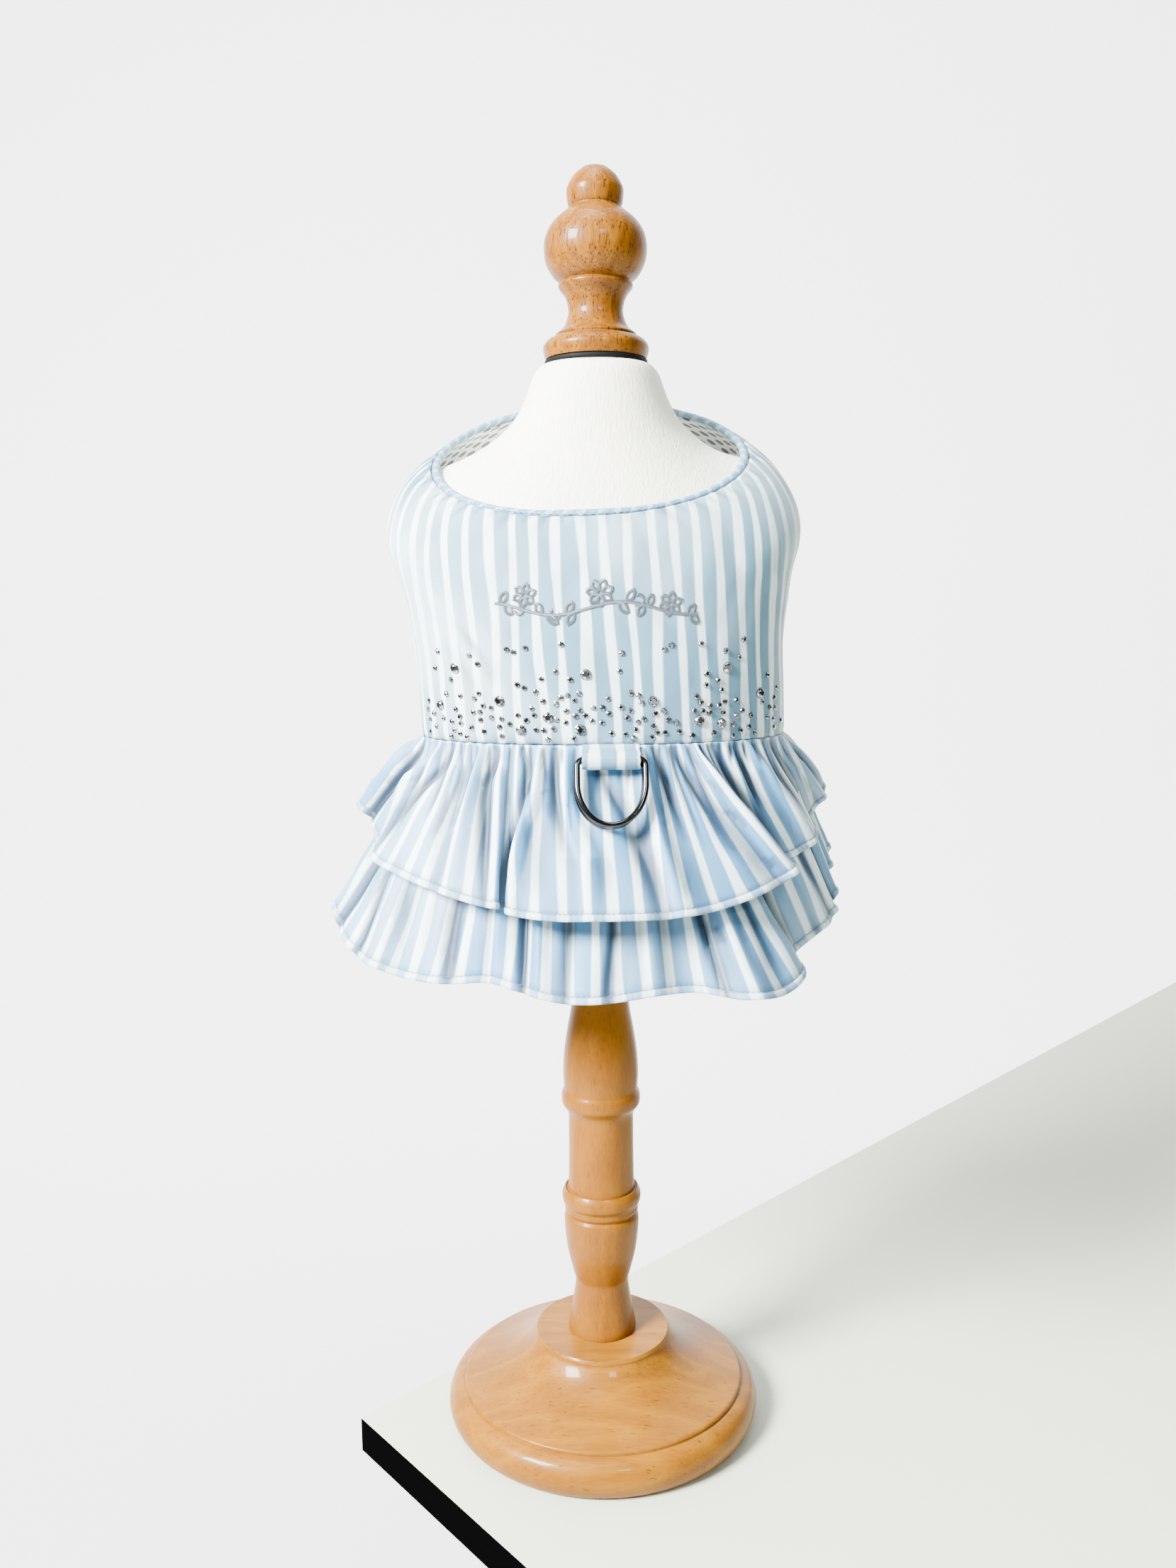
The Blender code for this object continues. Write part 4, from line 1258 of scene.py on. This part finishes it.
def hemLift(tier, lift, left, mark):  # the rolled, stitched and puckered edge, and its shade
    seamLeft = hem["rows"][hem["stitched"]] * mm
    near = math.exp(-(left / hem["puckerReach"]) ** 2)
    wobble = 2.2 * drift(mark * 90, 0.0, 0.0, tier["seed"] + 4)
    wave = math.sin(math.tau * mark / hem["puckerPitch"] + wobble)
    # pinch is painted shade, darker in the puckers' troughs and along the stitched groove
    pinch = 0.30 * near * (0.5 - 0.5 * wave) + 0.5 * bump(left, seamLeft, 0.5 * mm)
    middle = hem["rows"][2] * mm / 2
    lift += hem["pucker"] * near * wave
    lift += hem["roll"] * math.sqrt(max(0.0, 1.0 - ((left - middle) / middle) ** 2))
    lift -= hem["groove"] * bump(left, seamLeft, hem["grooveWidth"])
    return lift, pinch


def onSeam(seam, mark):  # the seam's place and outward side at a length along the hem
    after = min(max(bisect.bisect_right(seam, mark, key=lambda spot: spot[2]), 1), len(seam) - 1)
    first, second = seam[after - 1], seam[after]
    share = min(1.0, max(0.0, (mark - first[2]) / max(second[2] - first[2], 1e-9)))
    outward = first[1].lerp(second[1], share).normalized()
    return first[0].lerp(second[0], share) + outward * 0.02 * mm, outward


def stitchHem(name, seam):  # the seam's places, outward sides and lengths along the hem
    stitches = []
    mark = hem["margin"]
    while mark + hem["stitch"] < seam[-1][2] - hem["margin"]:
        start, outward = onSeam(seam, mark)
        end = onSeam(seam, mark + hem["stitch"])[0]
        stitches.append((start, end, outward))
        mark += hem["stitchPitch"]
    thread = addPiece(name, threadMesh(name, stitches, hem["thread"]), hemThread)
    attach(thread, "root")
    return thread


def makeTier(tier):
    columns = tier["columns"]
    keys = [mix(-gathers["end"], gathers["end"], column / columns) for column in range(columns + 1)]
    downs, lengths = rowShares(tier, keys)
    base = [[tierBase(tier, key, down) for key, down in zip(keys, line)] for line in downs]
    normals = gridNormals(base)
    hemMarks = marksAlong(base[-1])
    runs = list(tier["creases"]) + strewnCreases(tier)
    lifted = []
    valleyShades = []
    for row, line in enumerate(base):
        along = marksAlong(line)
        relief = [0.0] * (columns + 1)
        for run in runs:
            addCrease(run, keys, downs[row], along, relief)
        hung = []
        lifts = []
        hemShades = []
        for column, spot in enumerate(line):
            down = downs[row][column]
            lift = foldLift(tier, relief[column], spot, down)
            lifts.append(lift)
            hemShades.append(0.0)
            left = (1.0 - down) * lengths[column]
            if left < hem["puckerEnd"]:
                lift, hemShades[-1] = hemLift(tier, lift, left, hemMarks[column])
            hung.append(spot + normals[row][column] * lift)
        lifted.append(hung)
        # painted shade in the fold valleys, darkened further by the hem's painted shade
        shares = valleyShadeShares(lifts, along, gathers["valleyShades"])
        valleyShades.append([1.0 - (1.0 - share) * (1.0 - pinch) for share, pinch in zip(shares, hemShades)])
    spread = marksAlong(lifted[round(gathers["mainRows"] * gathers["foldedRow"])])
    heights = [0.0] * (columns + 1)
    flat = []
    for row, line in enumerate(base):
        if row:
            heights = [high + (a - b).length for high, a, b in zip(heights, line, base[row - 1])]
        flat.append([(across - spread[-1] / 2, high) for across, high in zip(spread, heights)])
    name = tier["name"]
    piece = addPiece(name, gridMesh(name, lifted[::-1], flat[::-1]), skirtCloth, smoothAngle=80)
    piece.data.materials.append(hemCloth)
    paintValleyShade(piece.data, valleyShades[::-1])
    for index, face in enumerate(piece.data.polygons):
        if index // columns < len(hem["rows"]) - 1 - hem["stitched"]:
            face.material_index = 1
    thicken(piece, gathers["thickness"])
    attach(piece, "root")
    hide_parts(tier["node"])
    seamRow = gathers["mainRows"] + hem["stitched"]
    seam = list(zip(lifted[seamRow], gridNormals(lifted)[seamRow], hemMarks))
    return piece, spread[-1], max(heights), gridArea(lifted), stitchHem(name + "Stitches", seam)


tiers = {tier["name"]: makeTier(tier) for tier in (upperTier, lowerTier)}
print("tiers gathered")


# Loop and rings, in the frame of the upper tier's slope

loop = {
    "side": ringRoom["middle"], "width": 23.6 * mm, "length": 7.6 * mm, "columns": 46,
    "cloth": 1.1 * mm, "shell": 0.85 * mm, "tunnel": 3.05 * mm,
    "over": ((-7.5, -3.75), (-5.6, -2.45)),  # down and off the slope in millimetres, over the rings
    "under": ((-3.6, -3.72), (-5.8, -4.0), (-7.5, -4.55)),  # and back under them
}
leashRing = {
    "wire": 2.5 * mm, "inner": 25.0 * mm, "length": 27.4 * mm, "straight": 0.36,
    "backTurn": math.radians(2.5),
}
slope = math.atan2(upperTier["reach"], upperTier["drop"])
downSlope = Vector((0.0, -math.sin(slope), -math.cos(slope)))
offSlope = Vector((0.0, -math.cos(slope), math.sin(slope)))
sideways = Vector((1.0, 0.0, 0.0))
loopOuter = loop["tunnel"] + loop["cloth"]
seamPoint = Vector((loop["side"], bodyFace(0.0, 0.0).y, waist - gap))
tunnel = seamPoint + downSlope * loop["length"] + offSlope * (loopOuter + 2 * gap)


def makeLoop():
    middle = loop["tunnel"] + loop["cloth"] / 2
    outline = list(loop["over"])
    for step in range(9):
        angle = math.radians(mix(122, -96, step / 8))
        outline.append((middle * math.cos(angle) / mm, middle * math.sin(angle) / mm))
    outline += loop["under"]
    route = softLine([Vector((down, off, 0.0)) for down, off in outline], 5)
    columns = loop["columns"]
    points = []
    flat = []
    length = 0.0
    for index, spot in enumerate(route):
        if index:
            length += (spot - route[index - 1]).length * mm
        line = []
        marks = []
        for column in range(columns + 1):
            across = mix(-0.5, 0.5, column / columns)
            edge = (0.5 - abs(across)) * loop["width"]
            swell = 0.12 * mm * drift(across * 7.0, index * 0.12, 0.0, 6.0) - 0.25 * mm * math.exp(-edge / mm)
            width = loop["width"] * (0.985 + 0.012 * math.sin(index * 0.7))
            out = Vector((spot.x, spot.y, 0.0)).normalized() * swell
            local = Vector((spot.x * mm + out.x, spot.y * mm + out.y, across * width))
            line.append(tunnel + downSlope * local.x + offSlope * local.y + sideways * local.z)
            marks.append((across * loop["width"] + 2.0 * mm, length))
        points.append(line)
        flat.append(marks)
    piece = addPiece("ringLoop", gridMesh("ringLoop", points, flat), bodiceCloth, smoothAngle=70)
    thicken(piece, loop["shell"], side=0.0)
    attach(piece, "root")
    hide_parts("ring_loop")
    return piece, gridArea(points)


ringLoop, loopArea = makeLoop()


def ringLine(turn, level):
    half = (leashRing["inner"] + leashRing["wire"]) / 2
    corner = 1.2 * leashRing["wire"]
    straight = leashRing["straight"] * leashRing["length"]
    bow = leashRing["length"] - straight
    spots = [(mix(-half + corner, half - corner, step / 16), 0.0) for step in range(17)]
    for step in range(1, 9):
        angle = math.pi / 2 * (1 - step / 9)
        spots.append((half - corner * (1 - math.cos(angle)), corner * (1 - math.sin(angle))))
    for step in range(6):
        spots.append((half, mix(corner, straight, step / 6)))
    for step in range(57):
        angle = math.pi * step / 56
        spots.append((half * math.cos(angle), straight + bow * math.sin(angle)))
    for step in range(1, 7):
        spots.append((-half, mix(straight, corner, step / 6)))
    for step in range(1, 9):
        angle = math.pi / 2 * step / 9
        spots.append((-half + corner * (1 - math.cos(angle)), corner * (1 - math.sin(angle))))
    line = []
    for side, down in spots:
        x = side * math.cos(turn) - down * math.sin(turn)
        y = side * math.sin(turn) + down * math.cos(turn)
        line.append(tunnel + sideways * x + downSlope * y + offSlope * level)
    return line


half = leashRing["wire"] / 2
apart = half + gap / 2
for name, node, turn, level in (
    ("frontRing", "d_ring_front", 0.0, apart),
    ("backRing", "d_ring_back", leashRing["backTurn"], -apart),
):
    line = ringLine(turn, level)
    across = []
    for index in range(len(line)):
        forward = (line[(index + 1) % len(line)] - line[index - 1]).normalized()
        across.append(forward.cross(offSlope).normalized())
    mesh = tubeMesh(name, line, across, [offSlope] * len(line), lambda share, angle: (half, half), sides=20)
    ring = addPiece(name, mesh, nickel, smoothAngle=80)
    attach(ring, "rings")
    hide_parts(node)
print("rings hung")


# Embroidery: a stitched sprig where the back carries its ornament

sprig = {  # its lines are in millimetres from the middle
    "middle": (-1.0 * mm, 55.0 * mm), "halfWidth": 41, "wave": 2.6, "stitch": 1.9 * mm, "pitch": 0.58 * mm,
    "thread": 0.50 * mm, "slant": math.radians(52),
    "daisies": ((-29.0, 5.4, 6, 3.9), (1.5, 6.2, 7, 4.6), (30.0, 1.6, 6, 3.9)),  # x, z, petals, reach
    "leaves": (  # x on the stem, heading, length
        (-39, 60, 5.5), (-37, -55, 5.0), (-22, 118, 5.0), (-20, -40, 6.0), (-12, 62, 5.5), (-9, -118, 5.5),
        (9, -50, 6.0), (12, 55, 6.0), (19, -115, 5.0), (21, 70, 5.0), (37, 50, 5.0), (38, -45, 5.0),
    ),
    "curls": (  # x, z, heading, length, bend
        (-14.5, -2.0, -70, 9.0, -250), (15.5, 2.0, -60, 9.0, 250), (-33.0, -0.6, -95, 7.0, 230),
    ),
}


def curl(x, y, heading, length, bend):  # a line that turns as it goes
    steps = 14
    angle = math.radians(heading)
    spots = [(x, y)]
    for step in range(steps):
        angle += math.radians(bend) / steps
        x += math.cos(angle) * length / steps
        y += math.sin(angle) * length / steps
        spots.append((x, y))
    return spots


def leaf(start, heading, length, width):
    spots = []
    angle = math.radians(heading)
    for step in range(19):
        share = step / 18
        along = length * (1 - abs(2 * share - 1))
        side = width * math.sin(math.tau * share)
        spots.append((
            start[0] + along * math.cos(angle) - side * math.sin(angle),
            start[1] + along * math.sin(angle) + side * math.cos(angle),
        ))
    return spots


def daisy(x, y, petals, reach):
    lines = []
    for petal in range(petals):
        heading = 360 / petals * petal + 18
        angle = math.radians(heading)
        start = (x + 0.9 * math.cos(angle), y + 0.9 * math.sin(angle))
        lines.append(leaf(start, heading, reach, reach * 0.34))
    return lines


def onStem(x):
    return x, sprig["wave"] * math.sin(x * 0.115 + 0.4)


def sprigLines():
    half = sprig["halfWidth"]
    lines = [[onStem(-half + 2 * half * step / 60) for step in range(61)]]
    for flower in sprig["daisies"]:
        lines += daisy(*flower)
    lines += [leaf(onStem(x), heading, length, 1.35) for x, heading, length in sprig["leaves"]]
    lines += [curl(*tendril) for tendril in sprig["curls"]]
    return lines


def stitchSprig():
    stitches = []
    middleX, middleZ = sprig["middle"]
    for line in sprigLines():
        walked = 0.0
        mark = 0.0
        for first, second in zip(line, line[1:]):
            run = math.hypot(second[0] - first[0], second[1] - first[1]) * mm
            if run <= 0:
                continue
            while mark <= walked + run:
                share = (mark - walked) / run
                x = middleX + mix(first[0], second[0], share) * mm
                z = waist + middleZ + mix(first[1], second[1], share) * mm
                heading = math.atan2(second[1] - first[1], second[0] - first[0]) + sprig["slant"]
                turn, rise = onBack(x, z)
                place, around, up, outward = bodyFrame(turn, rise)
                place = place + outward * (bodiceLift(turn, rise, place) + 0.10 * mm)
                along = (around * math.cos(heading) + up * math.sin(heading)) * sprig["stitch"] / 2
                stitches.append((place - along, place + along, outward))
                mark += sprig["pitch"]
            walked += run
    return stitches


sprigStitches = stitchSprig()
sprigMesh = threadMesh("stitchedSprig", sprigStitches, sprig["thread"], sides=5)
embroidery = addPiece("stitchedSprig", sprigMesh, greyThread)
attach(embroidery, "root")
print("sprig stitched:", len(sprigStitches), "stitches")


# Glass stones: the main ones where their nodes are, then finer ones towards the seam

glitter = {
    "fine": 112, "seed": 23, "tries": 20000, "across": (-76, 79), "foot": 2.0 * mm, "height": 19.0 * mm,
    "sparse": 0.12, "sparseHeights": (19, 42), "small": 1.3064 * mm, "finest": 1.18 * mm, "apart": 0.25 * mm,
    # the tones are painted reflections on the facets, chosen at random; the rim tone is painted shade round
    # each stone
    "toneSeed": 5, "reflectionTones": (0.006, 0.015, 0.04, 0.12, 0.40, 0.95), "tint": (0.95, 0.98, 1.04),
    "tableReflectionTones": (0.02, 0.05, 0.12, 0.6), "rimShadeTone": 0.10, "footTone": 0.3, "sides": 10,
    "rings": (  # radius, height, turn in sides
        (1.06, -0.05, 0.0), (1.06, 0.16, 0.0), (0.98, 0.20, 0.0), (0.80, 0.48, 0.5), (0.50, 0.66, 0.0),
    ),
}
stoneNodes = [node for node in frame["nodes"] if node.startswith("stone_")]


def stonePlaces():
    places = []
    for node in sorted(stoneNodes):
        low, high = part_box(node)
        middle = Vector([(a + b) / 2 for a, b in zip(low, high)])
        places.append((middle.x, middle.z, (high[2] - low[2]) / 2))
    chance = random.Random(glitter["seed"])
    tries = 0
    while len(places) < len(stoneNodes) + glitter["fine"] and tries < glitter["tries"]:
        tries += 1
        x = chance.uniform(*glitter["across"]) * mm
        clump = 0.55 + 0.45 * math.sin(x / mm * 0.11 + 1.0) * math.sin(x / mm * 0.31)
        z = waist + glitter["foot"] + glitter["height"] * chance.random() ** (0.8 + clump)
        if chance.random() < glitter["sparse"]:
            z = waist + chance.uniform(*glitter["sparseHeights"]) * mm
        size = glitter["finest"] if chance.random() < 0.5 else glitter["small"]
        if all(math.hypot(x - a, z - b) > size + c + glitter["apart"] for a, b, c in places):
            places.append((x, z, size))
    return places


def makeStones():
    chance = random.Random(glitter["toneSeed"])
    rings = glitter["rings"]
    sides = glitter["sides"]
    corners = []
    faces = []
    reflectionTones = []
    for x, z, size in stonePlaces():
        turn, rise = onBack(x, z)
        place, around, up, outward = bodyFrame(turn, rise)
        place = place + outward * (bodiceLift(turn, rise, place) + 0.02 * mm)
        spin = chance.uniform(0, math.tau)
        first = len(corners)
        for radius, height, shift in rings:
            for side in range(sides):
                angle = spin + math.tau * (side + shift) / sides
                offset = around * math.cos(angle) * radius + up * math.sin(angle) * radius + outward * height
                corners.append(place + offset * size)
        for ring in range(len(rings) - 1):
            low = first + ring * sides
            stagger = rings[ring + 1][2] - rings[ring][2]
            for side in range(sides):
                beside = (side + 1) % sides
                a, b, c, d = low + side, low + beside, low + sides + beside, low + sides + side
                # rim faces get painted shade, the crown's facets painted reflections
                if stagger == 0.0:
                    faces.append((a, b, c, d))
                    reflectionTones.append(glitter["rimShadeTone"])
                else:
                    faces += [(a, b, d), (b, c, d)] if stagger > 0.0 else [(a, c, d), (a, b, c)]
                    reflectionTones += [chance.choice(glitter["reflectionTones"]), chance.choice(glitter["reflectionTones"])]
        last = first + (len(rings) - 1) * sides
        faces.append(tuple(last + side for side in range(sides)))
        reflectionTones.append(chance.choice(glitter["tableReflectionTones"]))
        faces.append(tuple(first + side for side in reversed(range(sides))))
        reflectionTones.append(glitter["footTone"])
    mesh = bpy.data.meshes.new("glassStones")
    mesh.from_pydata([tuple(corner) for corner in corners], [], faces)
    layer = mesh.color_attributes.new("facet", "FLOAT_COLOR", "CORNER")
    values = []
    for polygon, tone in zip(mesh.polygons, reflectionTones):
        colour = [min(1.0, tone * share) for share in glitter["tint"]] + [1.0]
        values += colour * polygon.loop_total
    layer.data.foreach_set("color", values)
    mesh.materials.append(crystal)
    return addObject("glassStones", mesh)


glassStones = makeStones()
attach(glassStones, "root")
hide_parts(*stoneNodes)
print("stones set")


# What each sheet was cut to

def holeArea(depth):  # both leg holes
    total = 0.0
    for side in (-1, 1):
        middle = bodyFace(side * legHole["turn"], legHole["rise"])
        shares = [step / legHole["steps"] for step in range(legHole["steps"] + 1)]
        rim = [holeRim(side, share, depth)[0] - middle for share in shares]
        total += sum(0.5 * a.cross(b).length for a, b in zip(rim, rim[1:]))
    return total


bodiceArea = gridArea(backPoints) - holeArea(0.0)
bodiceWidth = max(runLength(line) for line in backPoints)
bodiceHeight = max(backFlat[-1][column][1] for column in range(bodiceCut["columns"] + 1))
trims + [embroidery, glassStones]
liningArea = gridArea(liningPoints) - holeArea(liningDepth)
liningWidth = max(runLength(line) for line in liningPoints)
runLength([line[strip["columns"] // 2] for line in stripPoints])


# Floor, light and camera

stage = {
    "size": 6.0, "wall": 1.6, "curve": 0.9, "low": 0.35, "colour": (0.50, 0.50, 0.49),
    "glow": (1.0, 1.0, 1.0), "dim": (0.40, 0.41, 0.43), "strength": 3.2,
}
tableTop = {
    "corner": (-115.1 * mm, -10.9 * mm), "back": 45.2, "front": -49.9, "length": 1.7, "thickness": 16.5 * mm,
    "colour": (0.53, 0.56, 0.46), "edge": (0.0008, 0.0008, 0.0008),
}


def makeSweep():  # a pale floor that curves up into a wall, glowing all over as painted light, most on the wall behind the stand
    start, curve, half = stage["wall"] - stage["curve"], stage["curve"], stage["size"] / 2
    profile = [(-half, 0.0), (start, 0.0)]  # y and height
    for step in range(1, 17):
        angle = math.pi / 2 * step / 16
        profile.append((start + curve * math.sin(angle), curve * (1 - math.cos(angle))))
    profile.append((stage["wall"], stage["size"]))
    points = [[(x, y, z - stage["low"]) for x in (-half, half)] for y, z in profile]
    mesh = gridMesh("sweep", points, [[(0.0, 0.0)] * 2 for _ in profile])
    paint = Paint("paleSweep")
    haze = paint.noise(paint.place(), 3.0, 2.0)
    across = paint.add("ShaderNodeSeparateXYZ", {}, {0: paint.place()})
    wallGlow = across.output(1).between(0.15, 1.3) * abs(across).between(1.0, 2.2, 1.0, 0.25)
    material = paint.finish(
        Base_Color=paint.blend(haze, tuple(value * 0.98 for value in stage["colour"]), stage["colour"]),
        Roughness=0.7,
        Specular_IOR_Level=0.1,
        # painted light: the sweep glows, brightest on the wall behind the stand, and lights the stand from
        # behind
        Emission_Color=paint.blend(wallGlow, stage["dim"], stage["glow"]),
        Emission_Strength=stage["strength"],
    )
    return addPiece("sweep", mesh, material)


def makeTable():  # the ivory top that the stand is on, with dark edges
    corner = Vector((*tableTop["corner"], 0.0))
    back, front = [
        Vector((math.cos(math.radians(angle)), math.sin(math.radians(angle)), 0.0)) * tableTop["length"]
        for angle in (tableTop["back"], tableTop["front"])
    ]
    down = Vector((0.0, 0.0, -tableTop["thickness"]))
    top = [corner, corner + front, corner + front + back, corner + back]
    corners = [tuple(spot) for spot in top] + [tuple(spot + down) for spot in top]
    faces = [(0, 1, 2, 3), (7, 6, 5, 4)]
    faces += [(side, side + 4, (side + 1) % 4 + 4, (side + 1) % 4) for side in range(4)]
    mesh = bpy.data.meshes.new("tableTop")
    mesh.from_pydata(corners, [], faces)
    paint = Paint("ivoryTop")
    haze = paint.noise(paint.place(), 6.0, 2.0)
    ivory = paint.finish(
        Base_Color=paint.blend(haze, tuple(value * 0.97 for value in tableTop["colour"]), tableTop["colour"]),
        Roughness=0.6,
        Specular_IOR_Level=0.15,
    )
    edge = Paint("darkEdge").finish(Base_Color=tableTop["edge"], Roughness=0.7, Specular_IOR_Level=0.0)
    piece = addPiece("tableTop", mesh, ivory)
    mesh.materials.append(edge)
    for face in list(mesh.polygons)[1:]:
        face.material_index = 1
    return piece


makeSweep()
makeTable()

room = {"colour": (0.93, 0.95, 1.0, 1.0), "strength": 0.13}
world = bpy.data.worlds.new("softRoom")
world.use_nodes = True
sky = world.node_tree.nodes["Background"]
sky.inputs["Color"].default_value = room["colour"]
sky.inputs["Strength"].default_value = room["strength"]
bpy.context.scene.world = world

lightTarget = Vector((0.0, 0.0, 0.33))
lights = (  # name, place, size, watts, colour
    ("window", (-1.00, -0.78, 1.05), 0.48, 245.0, (1.0, 0.99, 0.97)),
    ("fill", (0.30, -1.05, 1.05), 0.22, 8.0, (0.97, 0.99, 1.0)),
    ("top", (-0.1, -0.1, 1.5), 0.6, 16.0, (1.0, 1.0, 1.0)),
)
for name, place, size, watts, colour in lights:
    lamp = bpy.data.lights.new(name, "AREA")
    lamp.shape = "SQUARE"
    lamp.size = size
    lamp.energy = watts
    lamp.color = colour
    holder = addObject(name, lamp)
    holder.location = place
    holder.rotation_euler = (lightTarget - Vector(place)).to_track_quat("-Z", "Y").to_euler()

shot = {
    "lens": 30.1, "sensor": 36.0, "place": (-4.9 * mm, -588 * mm, 382.6 * mm), "pitch": 7.8, "roll": 0.44,
}
lens = bpy.data.cameras.new("camera")
lens.lens = shot["lens"]
lens.sensor_width = shot["sensor"]
lens.clip_start = 0.02
camera = addObject("camera", lens)
tilt = Matrix.Rotation(math.radians(90 - shot["pitch"]), 4, "X")
lean = Matrix.Rotation(math.radians(-shot["roll"]), 4, "Z")
camera.matrix_world = Matrix.Translation(shot["place"]) @ tilt @ lean
bpy.context.scene.camera = camera
print("stage lit")
